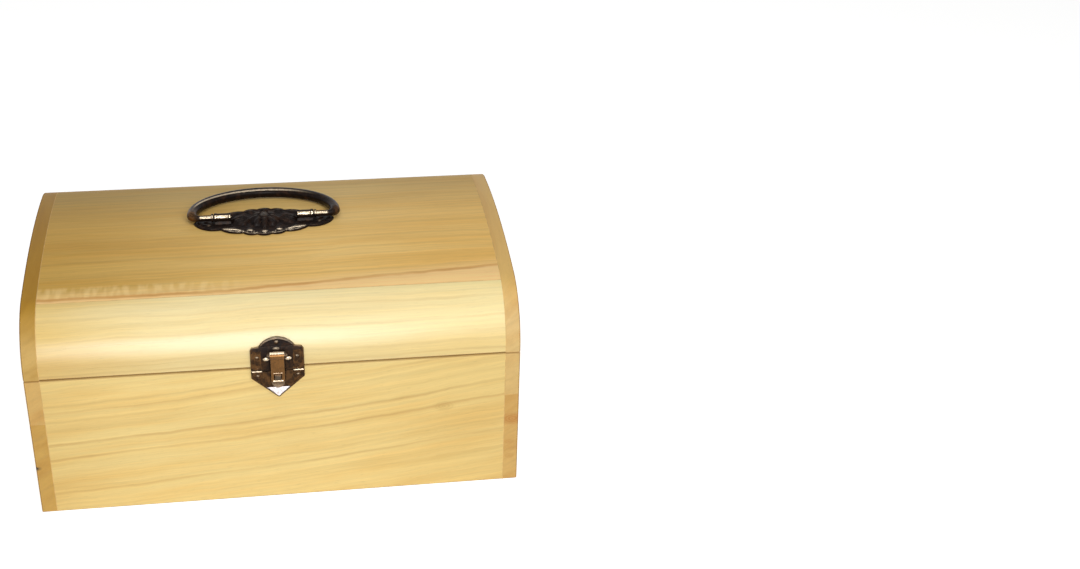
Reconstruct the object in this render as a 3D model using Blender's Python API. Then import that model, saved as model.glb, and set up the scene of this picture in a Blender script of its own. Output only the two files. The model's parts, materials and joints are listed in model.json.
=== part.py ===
# Wooden jewelry box with a rounded lid, a hasp on the front and a drop handle on the lid.
# Metres, +Z up. X runs along the box, the front faces -Y and the box stands on Z = 0.
# The origin is the middle of the underside of the whole object, hasp and hinges included.

import bpy
import bmesh
from math import asin, atan2, ceil, cos, pi, radians, sin, sqrt
from mathutils import Matrix, Vector

# Driving dimensions of the case
box_length = 0.265
box_depth = 0.178
body_height = 0.0858
lid_height = 0.0390
board = 0.0080
shoulder_radius = 0.0335
lid_upright = 0.0013
seam_gap = 0.0004
glue_gap = 0.0003
arris = 0.0006

# Shares and angles of the case
end_stave_share = 0.68
shoulder_joint_angle = radians(72.0)
arris_steps = 2
shoulder_steps = 16
crown_steps = 14

# Floor panel, held in a groove around the four walls
panel_thickness = 0.0040
panel_lift = 0.0050
groove_depth = 0.0040

# Butt hinges, let into the seam at the back
hinge_share = 0.57
hinge_length = 0.0250
leaf_width = 0.0065
leaf_thickness = 0.0008
hinge_barrel_radius = 0.0017
hinge_pin_radius = 0.0006
running_gap = 0.0003
hinge_screw_share = 0.31
screw_head_radius = 0.00145
screw_head_depth = 0.00055
screw_radius = 0.0007
screw_length = 0.0068
screw_point = 0.0018

# Hasp: a plate on the lid holds a lever on a pin, and a plate on the body holds its hook
hasp_width = 0.0286
hasp_plate = 0.0014
hasp_edge = 0.0004
hasp_border = 0.0013
hasp_recess = 0.0004
seat_gap = 0.0002
lid_plate_side = 0.0104
lid_plate_ledge = 0.0119
lid_plate_top = 0.0174
lid_plate_chamfer = 0.0010
arch_share = 0.68
arch_foot_rise = 0.0005
hasp_pin_height = 0.0083
lever_barrel_radius = 0.0022
hasp_pin_radius = 0.0007
lever_width = 0.0074
lever_thickness = 0.0013
lever_edge = 0.0003
lever_length = 0.0200
lever_bend_start = 0.0154
lever_bend_radius = 0.0090
lever_round_start = 0.0162
window_top = 0.0116
window_height = 0.0034
window_width = 0.0044
ear_radius = 0.0016
ear_thickness = 0.0010
column_width = 0.0040
column_height = 0.0009
lid_column_length = 0.0066
catch_column_length = 0.0094
catch_drop = 0.0010
hasp_plate_gap = 0.0004
catch_side = 0.0046
catch_point = 0.0175
facet_top = 0.0106
facet_border = 0.0005
facet_depth = 0.0008
hook_thickness = 0.0009
hook_width = 0.0032

# Round-headed brads that hold the hasp and the handle
brad_head_radius = 0.00115
brad_head_height = 0.0007
brad_radius = 0.0005
brad_length = 0.0064
brad_point = 0.0015
lid_brad_share = 0.75
lid_brad_height = 0.0062
top_brad_height = 0.0143
catch_brad_share = 0.75
catch_brad_drop = 0.0036

# Drop handle on the lid
handle_side_shift = -0.0032
handle_back_shift = 0.0045
handle_half_length = 0.0398
handle_half_depth = 0.0166
handle_plate = 0.0009
handle_edge = 0.0004
pivot_height = 0.0042
socket_radius = 0.00265
socket_outer = 0.0282
socket_length = 0.0098
socket_bore_depth = 0.0080
pedestal_half_depth = 0.0022
bail_half_width = 0.0406
bail_reach = 0.0354
bail_bend_radius = 0.0046
bail_radius = 0.0030
bail_end_radius = 0.0016
bail_collar_radius = 0.0024
bail_collar_length = 0.0013
rosette_radius = 0.0080
rosette_height = 0.0043
side_dome_place = 0.0134
side_dome_length = 0.0052
side_dome_depth = 0.0050
side_dome_height = 0.0031
bead_radius = 0.0019
bead_height = 0.0012
roll_length = 0.0058
roll_depth = 0.0017
roll_height = 0.0011
pedestal_sink = 0.0004
dome_sink = 0.0006

# Outline of the handle plate: cusps and bulges of one quarter, as shares of its half sizes
cusp_shares = ((1.0, 0.0), (0.62, 0.51), (0.30, 0.78), (0.105, 0.90))
bulge_shares = (0.20, 0.11, 0.09)
middle_bulge_share = 0.10
bead_shares = ((0.0, 0.80), (0.205, 0.70))
roll_shares = (0.475, 0.56)
handle_brad_shares = (0.785, 0.26)
petal_count = 8
petal_share = 0.10

# Facets of the round pieces
fine_sides = 24
small_sides = 16
brad_sides = 10
bail_steps = 22
bend_steps = 6
curve_resolution = 3
bend_spacing = 0.0020
handle_bend_spacing = 0.0055
round_end_steps = 6

# Tolerances and overruns
same_place = 0.000001
overrun = 0.0010

# Places that follow from the sizes above
half_length = box_length / 2
half_depth = box_depth / 2
half_inside = half_length - board
lid_rim = body_height + seam_gap
hinge_axis_y = half_depth + running_gap + hinge_barrel_radius
hinge_axis_z = body_height + seam_gap / 2
hinge_places = (-hinge_share * half_length, hinge_share * half_length)

# The lid's outline is an arch of three arcs: a shoulder at each side and a flat crown between them
shoulder_rise = lid_height - lid_upright
shoulder_inset = half_depth - shoulder_radius
crown_excess = shoulder_rise**2 + shoulder_inset**2 - shoulder_radius**2
crown_radius = crown_excess / (2 * (shoulder_rise - shoulder_radius))
crown_centre_z = lid_rim + lid_height - crown_radius
shoulder_centre_z = lid_rim + lid_upright
crown_join_angle = atan2(shoulder_centre_z - crown_centre_z, shoulder_inset)


def remove_everything():
    for old in list(bpy.data.objects):
        bpy.data.objects.remove(old, do_unlink=True)


def finish(name, colour, roughness, metallic):
    material = bpy.data.materials.new(name)
    material.use_nodes = True
    shader = material.node_tree.nodes["Principled BSDF"]
    shader.inputs["Base Color"].default_value = (*colour, 1.0)
    shader.inputs["Roughness"].default_value = roughness
    shader.inputs["Metallic"].default_value = metallic
    return material


def empty(name, place, parent=None):
    guide = bpy.data.objects.new(name, None)
    bpy.context.collection.objects.link(guide)
    guide.location = place
    guide.parent = parent
    return guide


def piece(name, shape, material, parent, origin=(0.0, 0.0, 0.0), smooth_angle=None):
    # Turns a bmesh in the parent's frame into an object whose own origin lies at the point given
    bmesh.ops.recalc_face_normals(shape, faces=shape.faces)
    bmesh.ops.translate(shape, verts=shape.verts, vec=-Vector(origin))
    mesh = bpy.data.meshes.new(name)
    shape.to_mesh(mesh)
    shape.free()
    mesh.materials.append(material)
    if smooth_angle is not None:
        mesh.shade_smooth()
        mesh.set_sharp_from_angle(angle=smooth_angle)
    made = bpy.data.objects.new(name, mesh)
    bpy.context.collection.objects.link(made)
    made.location = origin
    made.parent = parent
    return made


def tool(name, shape, parent):
    # A shape that only adds to another piece or cuts it
    made = piece(name, shape, guide_finish, parent)
    made.hide_render = True
    made.display_type = "WIRE"
    return made


def combine(target, other, operation):
    step = target.modifiers.new(operation.lower(), "BOOLEAN")
    step.operation = operation
    step.solver = "EXACT"
    step.object = other


def cut(target, other):
    combine(target, other, "DIFFERENCE")


def weld(target, other):
    combine(target, other, "UNION")


def add_block(shape, low, high):
    low = Vector(low)
    high = Vector(high)
    size = high - low
    place = Matrix.Translation((low + high) / 2) @ Matrix.Diagonal((*size, 1.0))
    bmesh.ops.create_cube(shape, size=1.0, matrix=place)


def block(low, high):
    shape = bmesh.new()
    add_block(shape, low, high)
    return shape


def add_along_x(shape, outline, start, end):
    # A prism whose outline lies across the box, in Y and Z
    ring = [shape.verts.new((start, y, z)) for y, z in outline]
    cap = shape.faces.new(ring)
    grown = bmesh.ops.extrude_face_region(shape, geom=[cap])
    moved = [part for part in grown["geom"] if isinstance(part, bmesh.types.BMVert)]
    bmesh.ops.translate(shape, verts=moved, vec=(end - start, 0.0, 0.0))


def along_x(outline, start, end):
    shape = bmesh.new()
    add_along_x(shape, outline, start, end)
    return shape


def add_turned(shape, profile, place, sides):
    # Spins a profile of radius and height about the local Z axis
    before = set(shape.verts)
    points = [shape.verts.new((radius, 0.0, height)) for radius, height in profile]
    edges = [shape.edges.new(pair) for pair in zip(points, points[1:])]
    bmesh.ops.spin(shape, geom=points + edges, cent=(0.0, 0.0, 0.0), axis=(0.0, 0.0, 1.0),
                   angle=2 * pi, steps=sides, use_merge=True)
    new = [vert for vert in shape.verts if vert not in before]
    bmesh.ops.remove_doubles(shape, verts=new, dist=same_place)
    new = [vert for vert in shape.verts if vert not in before]
    bmesh.ops.transform(shape, matrix=place, verts=new)


def facing(point, direction):
    # A frame at a point whose Z axis runs along a direction
    return Matrix.Translation(point) @ Vector(direction).to_track_quat("Z", "Y").to_matrix().to_4x4()


def add_rod(shape, start, end, radius, sides):
    run = Vector(end) - Vector(start)
    profile = ((0.0, 0.0), (radius, 0.0), (radius, run.length), (0.0, run.length))
    add_turned(shape, profile, facing(start, run), sides)


def turned_mesh(name, profile, sides):
    # One mesh that every copy of a fastener shares: its head looks along +Z from the origin
    shape = bmesh.new()
    add_turned(shape, profile, Matrix.Identity(4), sides)
    bmesh.ops.recalc_face_normals(shape, faces=shape.faces)
    mesh = bpy.data.meshes.new(name)
    shape.to_mesh(mesh)
    shape.free()
    mesh.materials.append(bronze)
    mesh.shade_smooth()
    mesh.set_sharp_from_angle(angle=smooth_angle)
    return mesh


def fastener(name, mesh, point, way, parent):
    made = bpy.data.objects.new(name, mesh)
    bpy.context.collection.objects.link(made)
    made.parent = parent
    made.location = point
    made.rotation_euler = Vector(way).to_track_quat("Z", "Y").to_euler()


def soften(shape, wanted, width):
    chosen = [edge for edge in shape.edges if wanted(edge)]
    bmesh.ops.bevel(shape, geom=chosen, offset=width, segments=arris_steps, profile=0.5,
                    affect="EDGES", clamp_overlap=True)


def lies_on(edge, axis, value):
    return all(abs(vert.co[axis] - value) < same_place for vert in edge.verts)


def crosses_ends(edge):
    return abs(edge.verts[0].co.x - edge.verts[1].co.x) > same_place


def body_arris(edge):
    # Outer edges of the body: around each end face, and along the rims of front and back
    at_rim = lies_on(edge, 2, 0.0) or lies_on(edge, 2, body_height)
    at_face = lies_on(edge, 1, -half_depth) or lies_on(edge, 1, half_depth)
    at_end = lies_on(edge, 0, -half_length) or lies_on(edge, 0, half_length)
    return (at_rim and at_face) or (at_end and (at_rim or at_face))


def lid_arris(edge):
    # Outer edges of the lid: around each end face, and along the rims of front and back
    at_face = lies_on(edge, 1, -half_depth) or lies_on(edge, 1, half_depth)
    at_end = lies_on(edge, 0, -half_length) or lies_on(edge, 0, half_length)
    return at_end or (at_face and lies_on(edge, 2, lid_rim) and crosses_ends(edge))


def shoulder_point(side, angle, inset):
    # A point on a shoulder arc: side is -1 in front and 1 at the back, angle 0 is level
    radius = shoulder_radius - inset
    return (side * (shoulder_inset + radius * cos(angle)), shoulder_centre_z + radius * sin(angle))


def shoulder_arc(side, start, end, inset):
    count = max(1, ceil(shoulder_steps * abs(end - start) / shoulder_joint_angle))
    return [shoulder_point(side, start + (end - start) * step / count, inset) for step in range(count + 1)]


def crown_arc(inset):
    # The crown from the front join to the back join
    radius = crown_radius - inset
    start = pi - crown_join_angle
    sweep = 2 * crown_join_angle - pi
    points = []
    for step in range(crown_steps + 1):
        angle = start + sweep * step / crown_steps
        points.append((radius * cos(angle), crown_centre_z + radius * sin(angle)))
    return points


def arch_outline():
    # The whole outside of the lid across the box, from the front rim to the back rim
    front = [(-half_depth, lid_rim)] + shoulder_arc(-1, 0.0, crown_join_angle, 0.0)
    back = shoulder_arc(1, crown_join_angle, 0.0, 0.0) + [(half_depth, lid_rim)]
    return front + crown_arc(0.0)[1:-1] + back


def make_body():
    wall_x = half_inside - glue_gap
    stave_top = end_stave_share * body_height
    walls = []
    for name, front, back in (("front_board", -half_depth, -half_depth + board),
                              ("back_board", half_depth - board, half_depth)):
        shape = block((-wall_x, front, 0.0), (wall_x, back, body_height))
        soften(shape, body_arris, arris)
        walls.append(piece(name, shape, pale_wood, case))
    for side, left, right in (("left", -half_length, -half_inside), ("right", half_inside, half_length)):
        for level, low, high in (("lower", 0.0, stave_top - glue_gap / 2),
                                 ("upper", stave_top + glue_gap / 2, body_height)):
            shape = block((left, -half_depth, low), (right, half_depth, high))
            soften(shape, body_arris, arris)
            walls.append(piece(f"{side}_end_{level}", shape, pale_wood, case))

    # The panel reaches into a groove that is larger all round by the glue gap
    reach = groove_depth - glue_gap
    corner = Vector((half_inside + reach, half_depth - board + reach, 0.0))
    low = Vector((-corner.x, -corner.y, panel_lift))
    high = Vector((corner.x, corner.y, panel_lift + panel_thickness))
    piece("bottom_panel", block(low, high), dark_wood, case)
    gap = Vector((glue_gap, glue_gap, glue_gap))
    groove = tool("groove", block(low - gap, high + gap), case)
    for wall in walls:
        if not wall.name.endswith("upper"):
            cut(wall, groove)
    return {wall.name: wall for wall in walls}


def make_lid():
    boards = {}
    for name, left, right in (("lid_left_end", -half_length, -half_inside),
                              ("lid_right_end", half_inside, half_length)):
        shape = along_x(arch_outline(), left, right)
        soften(shape, lid_arris, arris)
        boards[name] = piece(name, shape, pale_wood, case, lid_origin)

    # The joint between shoulder and top board runs square to the surface
    inner_radius = shoulder_radius - board
    half_gap = glue_gap / (2 * inner_radius)
    joint_low = shoulder_joint_angle - half_gap
    joint_high = shoulder_joint_angle + half_gap
    wall_x = half_inside - glue_gap
    for name, side in (("lid_front_shoulder", -1), ("lid_back_shoulder", 1)):
        outside = [(side * half_depth, lid_rim)] + shoulder_arc(side, 0.0, joint_low, 0.0)
        inside = shoulder_arc(side, joint_low, 0.0, board) + [(side * (half_depth - board), lid_rim)]
        shape = along_x(outside + inside, -wall_x, wall_x)
        soften(shape, lid_arris, arris)
        boards[name] = piece(name, shape, pale_wood, case, lid_origin, smooth_angle)
    front = shoulder_arc(-1, joint_high, crown_join_angle, 0.0)
    back = shoulder_arc(1, crown_join_angle, joint_high, 0.0)
    under_front = shoulder_arc(-1, crown_join_angle, joint_high, board)
    under_back = shoulder_arc(1, joint_high, crown_join_angle, board)
    outside = front + crown_arc(0.0)[1:-1] + back
    inside = under_back + crown_arc(board)[-2:0:-1] + under_front
    shape = along_x(outside + inside, -wall_x, wall_x)
    boards["lid_top_board"] = piece("lid_top_board", shape, pale_wood, case, lid_origin, smooth_angle)
    return boards


def knuckle_spans(centre):
    # The outer two knuckles belong to the body's leaf and the middle one to the lid's
    left = centre - hinge_length / 2
    third = hinge_length / 3
    half_gap = running_gap / 2
    outer = [(left, left + third - half_gap), (left + 2 * third + half_gap, left + hinge_length)]
    middle = [(left + third + half_gap, left + 2 * third - half_gap)]
    return outer, middle


def make_leaf(name, centre, spans, low, screw_up, origin):
    # A flat leaf between the rims with its knuckles round the pin behind the box
    high = low + leaf_thickness
    plate = block((centre - hinge_length / 2, half_depth - leaf_width, low),
                  (centre + hinge_length / 2, half_depth, high))
    leaf = piece(name, plate, bronze, case, origin, smooth_angle)
    tabs = bmesh.new()
    barrels = bmesh.new()
    for start, end in spans:
        add_block(tabs, (start, half_depth - leaf_width / 2, low), (end, hinge_axis_y, high))
        add_rod(barrels, (start, hinge_axis_y, hinge_axis_z), (end, hinge_axis_y, hinge_axis_z),
                hinge_barrel_radius, fine_sides)
    weld(leaf, tool(name + "_tabs", tabs, case))
    weld(leaf, tool(name + "_barrels", barrels, case))
    bore = bmesh.new()
    bore_radius = hinge_pin_radius + running_gap
    add_rod(bore, (centre - hinge_length, hinge_axis_y, hinge_axis_z),
            (centre + hinge_length, hinge_axis_y, hinge_axis_z), bore_radius, small_sides)
    cut(leaf, tool(name + "_bore", bore, case))
    holes = bmesh.new()
    for place, way in screw_places(centre, screw_up):
        add_turned(holes, screw_hole(), facing(place, way), small_sides)
    cut(leaf, tool(name + "_holes", holes, case))
    return leaf


def screw_places(centre, screw_up):
    # Head centres and the way the screws run in, from the face of the leaf that looks at the seam
    level = lid_rim if screw_up else body_height
    way = (0.0, 0.0, 1.0 if screw_up else -1.0)
    middle = half_depth - board / 2
    return [((centre + side * hinge_screw_share * hinge_length, middle, level), way) for side in (-1, 1)]


def screw_profile():
    # Flat head flush with the leaf, then the shank and its point
    neck = screw_length - screw_point
    return ((0.0, same_place * 10), (screw_head_radius, same_place * 10), (screw_radius, screw_head_depth),
            (screw_radius, neck), (0.0, screw_length))


def screw_hole():
    # The same countersink and shank, larger by the running gap, from outside the leaf
    wide = screw_head_radius + running_gap
    narrow = screw_radius + running_gap
    deep = screw_length + running_gap
    return ((0.0, -seam_gap / 2), (wide, -seam_gap / 2), (wide, 0.0), (narrow, screw_head_depth),
            (narrow, deep), (0.0, deep))


def make_hinges(back_board, lid_shoulder):
    screw = turned_mesh("hinge_screw", screw_profile(), brad_sides)
    mortises = {False: bmesh.new(), True: bmesh.new()}
    wood_holes = {False: bmesh.new(), True: bmesh.new()}
    body_low = body_height - leaf_thickness
    for side, centre in zip(("left", "right"), hinge_places):
        outer, middle = knuckle_spans(centre)
        make_leaf(f"{side}_hinge_body_leaf", centre, outer, body_low, False, (0.0, 0.0, 0.0))
        make_leaf(f"{side}_hinge_lid_leaf", centre, middle, lid_rim, True, lid_origin)
        pin = bmesh.new()
        reach = hinge_length / 2
        bevelled = hinge_pin_radius / 2
        profile = ((0.0, -reach), (bevelled, -reach), (hinge_pin_radius, bevelled - reach),
                   (hinge_pin_radius, reach - bevelled), (bevelled, reach), (0.0, reach))
        add_turned(pin, profile, facing((centre, hinge_axis_y, hinge_axis_z), (1.0, 0.0, 0.0)), small_sides)
        piece(f"{side}_hinge_pin", pin, bronze, case, lid_origin, smooth_angle)
        half = hinge_length / 2 + glue_gap
        front = half_depth - leaf_width - glue_gap
        back = half_depth + overrun
        add_block(mortises[False], (centre - half, front, body_low - glue_gap),
                  (centre + half, back, body_height + overrun))
        add_block(mortises[True], (centre - half, front, lid_rim - overrun),
                  (centre + half, back, lid_rim + leaf_thickness + glue_gap))
        for screw_up in (False, True):
            part = "lid" if screw_up else "body"
            for number, (place, way) in enumerate(screw_places(centre, screw_up), 1):
                fastener(f"{side}_hinge_{part}_screw_{number}", screw, place, way, case)
                add_turned(wood_holes[screw_up], screw_hole(), facing(place, way), brad_sides)
    for wood, screw_up, label in ((back_board, False, "body"), (lid_shoulder, True, "lid")):
        cut(wood, tool(f"{label}_mortises", mortises[screw_up], case))
        cut(wood, tool(f"{label}_screw_holes", wood_holes[screw_up], case))


def lid_face(distance, height):
    # A point over the lid's front, by the distance up its surface from the rim and the height over it
    if distance <= lid_upright:
        return -half_depth - height, lid_rim + distance
    angle = (distance - lid_upright) / shoulder_radius
    return shoulder_point(-1, angle, -height)


def body_face(distance, height):
    # A point over the body's front, by the distance down from the top of the catch plate
    return -half_depth - height, body_height - catch_drop - distance


def lever_face(distance, height):
    # A point on the lever, by the distance from the pin; the far end bends away from the box
    if distance <= lever_bend_start:
        return hasp_axis[0] - height, hasp_axis[1] - distance
    angle = (distance - lever_bend_start) / lever_bend_radius
    radius = lever_bend_radius - height
    across = hasp_axis[0] - lever_bend_radius + radius * cos(angle)
    return across, hasp_axis[1] - lever_bend_start - radius * sin(angle)


def crown_face(distance, height):
    # A point over the crown at the handle's seat, by the distance along the surface
    angle = distance / crown_radius
    return (crown_radius + height) * sin(angle), (crown_radius + height) * cos(angle) - crown_radius


def pattern(outline, face, low, high, edge=0.0, spacing=None):
    # A flat plate cut to an outline of places across and along, softened and then bent over a face
    shape = bmesh.new()
    ring = [shape.verts.new((across, along, low)) for across, along in outline]
    cap = shape.faces.new(ring)
    grown = bmesh.ops.extrude_face_region(shape, geom=[cap])
    moved = [part for part in grown["geom"] if isinstance(part, bmesh.types.BMVert)]
    bmesh.ops.translate(shape, verts=moved, vec=(0.0, 0.0, high - low))
    if edge:
        soften(shape, lambda side: lies_on(side, 2, high), edge)
    if spacing:
        first = min(along for across, along in outline)
        last = max(along for across, along in outline)
        for step in range(1, ceil((last - first) / spacing)):
            everything = shape.verts[:] + shape.edges[:] + shape.faces[:]
            bmesh.ops.bisect_plane(shape, geom=everything, dist=same_place, plane_no=(0.0, 1.0, 0.0),
                                   plane_co=(0.0, first + step * spacing, 0.0))
        bmesh.ops.triangulate(shape, faces=shape.faces)
    for vert in shape.verts:
        vert.co = (vert.co.x, *face(vert.co.y, vert.co.z))
    return shape


def mirrored(right):
    # A whole outline from its right half, which runs upward and may end on the middle line
    return right + [(-x, along) for x, along in reversed(right) if x > same_place]


def round_end(half_width, start, end):
    # The right half of a rounded end, from the side to the middle line
    points = []
    for step in range(round_end_steps + 1):
        angle = pi / 2 * step / round_end_steps
        points.append((half_width * cos(angle), start + (end - start) * sin(angle)))
    return points


def flat_arch(half_width, start, end):
    # The right half of an arch drawn with one circle, from its foot to the middle line
    rise = end - start
    radius = (half_width**2 + rise**2) / (2 * rise)
    sweep = asin(half_width / radius)
    points = []
    for step in range(round_end_steps + 1):
        angle = sweep * (1 - step / round_end_steps)
        points.append((radius * sin(angle), end - radius * (1 - cos(angle))))
    return points


def lid_plate_outline():
    # A lip over the seam, straight sides, a square ledge on each side and a flat arch in the middle
    half = hasp_width / 2
    arch_foot = lid_plate_ledge + arch_foot_rise
    right = [(half, lid_plate_start), (half, lid_plate_side), (half - lid_plate_chamfer, lid_plate_ledge)]
    return mirrored(right + flat_arch(arch_share * half, arch_foot, lid_plate_top))


def lever_outline():
    # Parallel sides and a rounded end
    half = lever_width / 2
    return mirrored([(half, 0.0)] + round_end(half, lever_round_start, lever_length))


def column_outline(side, start, length):
    # A raised column beside the lever, square at the plate's edge and round at its far end
    middle = column_inner + column_width / 2
    radius = column_width / 2
    outline = mirrored([(radius, start)] + round_end(radius, length - radius, length))
    return [(side * middle + x, along) for x, along in outline]


def side_pocket(side, start, top, slope_drop):
    # The sunk field between a column and the border, cut lower at its inner corner by the slope
    inner = column_inner + column_width + hasp_recess
    outer = hasp_width / 2 - hasp_border
    foot = start + hasp_border
    points = [(inner, foot), (outer, foot), (outer, top), (inner, top + slope_drop)]
    return [(side * x, along) for x, along in points]


def arch_pocket():
    # The sunk field inside the arch, above the lever's barrel
    foot = lid_plate_ledge + arch_foot_rise
    half = arch_share * hasp_width / 2 - hasp_border
    return mirrored([(half, foot)] + flat_arch(half, foot + arch_foot_rise, lid_plate_top - hasp_border))


def cut_pockets(plate, name, outlines, face, spacing):
    top = glue_gap + hasp_plate
    for number, outline in enumerate(outlines):
        shape = pattern(outline, face, top - hasp_recess, top + overrun, spacing=spacing)
        cut(plate, tool(f"{name}_pocket_{number}", shape, case))


def brad_profile():
    # Domed head whose underside lies at 0, then the shank and its point
    steps = brad_sides // 2
    head = [(0.0, seat_gap + brad_head_height)]
    for step in range(1, steps):
        angle = pi / 2 * (1 - step / steps)
        head.append((brad_head_radius * cos(angle), seat_gap + brad_head_height * sin(angle)))
    shoulder = brad_point - brad_length
    return head + [(brad_head_radius, seat_gap), (brad_radius, seat_gap), (brad_radius, shoulder),
                   (0.0, -brad_length)]


def brad_hole():
    # A plain hole for the shank, from above the plate to below the point
    radius = brad_radius + seat_gap
    return ((0.0, hasp_plate), (radius, hasp_plate), (radius, -brad_length - seat_gap),
            (0.0, -brad_length - seat_gap))


def drive_brads(name, places, plate, wood, parent):
    # Brads set through a plate into the wood; each place is a head seat and the way out of the wood
    holes = bmesh.new()
    for number, (point, way) in enumerate(places, 1):
        fastener(f"{name}_{number}", brad, point, way, parent)
        add_turned(holes, brad_hole(), facing(point, way), brad_sides)
    drill = tool(name + "_holes", holes, parent)
    cut(plate, drill)
    cut(wood, drill)


def face_brad(x, distance, face):
    # The seat of a brad in the recessed field of a plate, with the surface's outward direction
    seat = glue_gap + hasp_plate - hasp_recess
    low = Vector((x, *face(distance, 0.0)))
    high = Vector((x, *face(distance, seat)))
    return high, high - low


def ear_outline():
    # A rounded ear from inside the plate out round the pin, in Y and Z
    root = Vector(lid_face(hasp_pin_height, glue_gap + hasp_plate / 2))
    out = (Vector(hasp_axis) - root).normalized()
    across = Vector((-out.y, out.x))
    points = [root - across * ear_radius]
    for step in range(small_sides // 2 + 1):
        angle = -pi / 2 + pi * step / (small_sides // 2)
        points.append(Vector(hasp_axis) + (out * cos(angle) + across * sin(angle)) * ear_radius)
    points.append(root + across * ear_radius)
    return points


def make_lid_plate(lid_shoulder):
    # Ears and columns stand on the plate beside the lever, and the pin runs through the ears
    y, z = hasp_axis
    low = glue_gap
    high = glue_gap + hasp_plate
    shape = pattern(lid_plate_outline(), lid_face, low, high, hasp_edge, bend_spacing)
    plate = piece("hasp_lid_plate", shape, bronze, case, lid_origin, smooth_angle)
    field_top = lid_plate_side - hasp_recess
    fields = [side_pocket(side, lid_plate_start, field_top, 0.0) for side in (-1, 1)] + [arch_pocket()]
    cut_pockets(plate, "lid_plate", fields, lid_face, bend_spacing)
    ears = bmesh.new()
    for side in (-1, 1):
        column = pattern(column_outline(side, lid_plate_start, lid_column_length), lid_face,
                         high - hasp_recess, high + column_height, lever_edge, bend_spacing)
        weld(plate, tool(f"lid_column_{side}", column, case))
        add_along_x(ears, ear_outline(), side * column_inner, side * (column_inner + ear_thickness))
    weld(plate, tool("hasp_ears", ears, case))
    reach = column_inner + ear_thickness
    bore = bmesh.new()
    bore_radius = hasp_pin_radius + running_gap
    add_rod(bore, (-reach - overrun, y, z), (reach + overrun, y, z), bore_radius, small_sides)
    pin_bore = tool("hasp_bore", bore, case)
    cut(plate, pin_bore)

    pin = bmesh.new()
    tip = hasp_pin_radius / 2
    profile = ((0.0, -reach - tip), (tip, -reach - tip), (hasp_pin_radius, -reach),
               (hasp_pin_radius, reach), (tip, reach + tip), (0.0, reach + tip))
    add_turned(pin, profile, facing((0.0, y, z), (1.0, 0.0, 0.0)), small_sides)
    piece("hasp_pin", pin, bronze, case, lid_origin, smooth_angle)

    half = hasp_width / 2
    places = [face_brad(-lid_brad_share * half, lid_brad_height, lid_face),
              face_brad(lid_brad_share * half, lid_brad_height, lid_face),
              face_brad(0.0, top_brad_height, lid_face)]
    drive_brads("hasp_lid_brad", places, plate, lid_shoulder, case)
    return pin_bore


def make_lever(pin_bore):
    y, z = hasp_axis
    shape = pattern(lever_outline(), lever_face, -lever_thickness / 2, lever_thickness / 2, lever_edge,
                    bend_spacing)
    lever = piece("hasp_lever", shape, bronze, case, (0.0, y, z), smooth_angle)
    barrel = bmesh.new()
    add_rod(barrel, (-barrel_reach, y, z), (barrel_reach, y, z), lever_barrel_radius, fine_sides)
    weld(lever, tool("lever_barrel", barrel, case))
    cut(lever, pin_bore)
    window = block((-window_width / 2, y - lever_barrel_radius, z - window_top - window_height),
                   (window_width / 2, y + lever_barrel_radius, z - window_top))
    cut(lever, tool("lever_window", window, case))


def make_catch(front_board):
    high = glue_gap + hasp_plate
    half = hasp_width / 2
    outline = mirrored([(half, 0.0), (half, catch_side), (0.0, catch_point)])
    shape = pattern(outline, body_face, glue_gap, high, hasp_edge)
    catch = piece("hasp_catch_plate", shape, bronze, case, smooth_angle=smooth_angle)
    slope_drop = (half - hasp_border - column_inner - column_width) / catch_slope
    fields = [side_pocket(side, 0.0, catch_side - hasp_recess, slope_drop) for side in (-1, 1)]
    cut_pockets(catch, "catch", fields, body_face, None)
    for side in (-1, 1):
        column = pattern(column_outline(side, 0.0, catch_column_length), body_face, high - hasp_recess,
                         high + column_height, lever_edge)
        weld(catch, tool(f"catch_column_{side}", column, case))
    weld(catch, tool("catch_hook", along_x(hook_outline(), -hook_width / 2, hook_width / 2), case))
    cut(catch, tool("catch_facet", facet_wedge(), case))
    places = [face_brad(-catch_brad_share * half, catch_brad_drop, body_face),
              face_brad(catch_brad_share * half, catch_brad_drop, body_face)]
    drive_brads("hasp_catch_brad", places, catch, front_board, case)


def hook_outline():
    # An arm through the lever's window with a lip that turns down in front of the lever
    y, z = hasp_axis
    lip_back = y - lever_thickness / 2 - running_gap
    arm_top = z - window_top - running_gap
    arm_low = arm_top - hook_thickness
    swing = window_top + window_height - running_gap
    lip_low = z - sqrt(swing**2 - (y - hook_front)**2)
    root = -half_depth - glue_gap - hasp_plate / 2
    return ((root, arm_low), (root, arm_top), (hook_front, arm_top), (hook_front, lip_low),
            (lip_back, lip_low), (lip_back, arm_low))


def facet_wedge():
    # Cuts the sloping bright facet in the V of the catch plate, deep above and shallow at the point
    side_border = facet_border * sqrt(1 + catch_slope**2)
    half_width = catch_slope * (catch_point - facet_top) - side_border
    point = catch_point - side_border / catch_slope
    surface = glue_gap + hasp_plate
    shape = bmesh.new()
    rings = []
    for top_height, point_height in ((surface - facet_depth, surface - hasp_recess),
                                     (surface + overrun, surface + overrun)):
        top = body_face(facet_top, top_height)
        rings.append([shape.verts.new(place) for place in
                      ((-half_width, *top), (half_width, *top), (0.0, *body_face(point, point_height)))])
    shape.faces.new(rings[0])
    shape.faces.new(rings[1][::-1])
    for index in range(3):
        after = (index + 1) % 3
        shape.faces.new((rings[0][index], rings[1][index], rings[1][after], rings[0][after]))
    return shape


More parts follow.
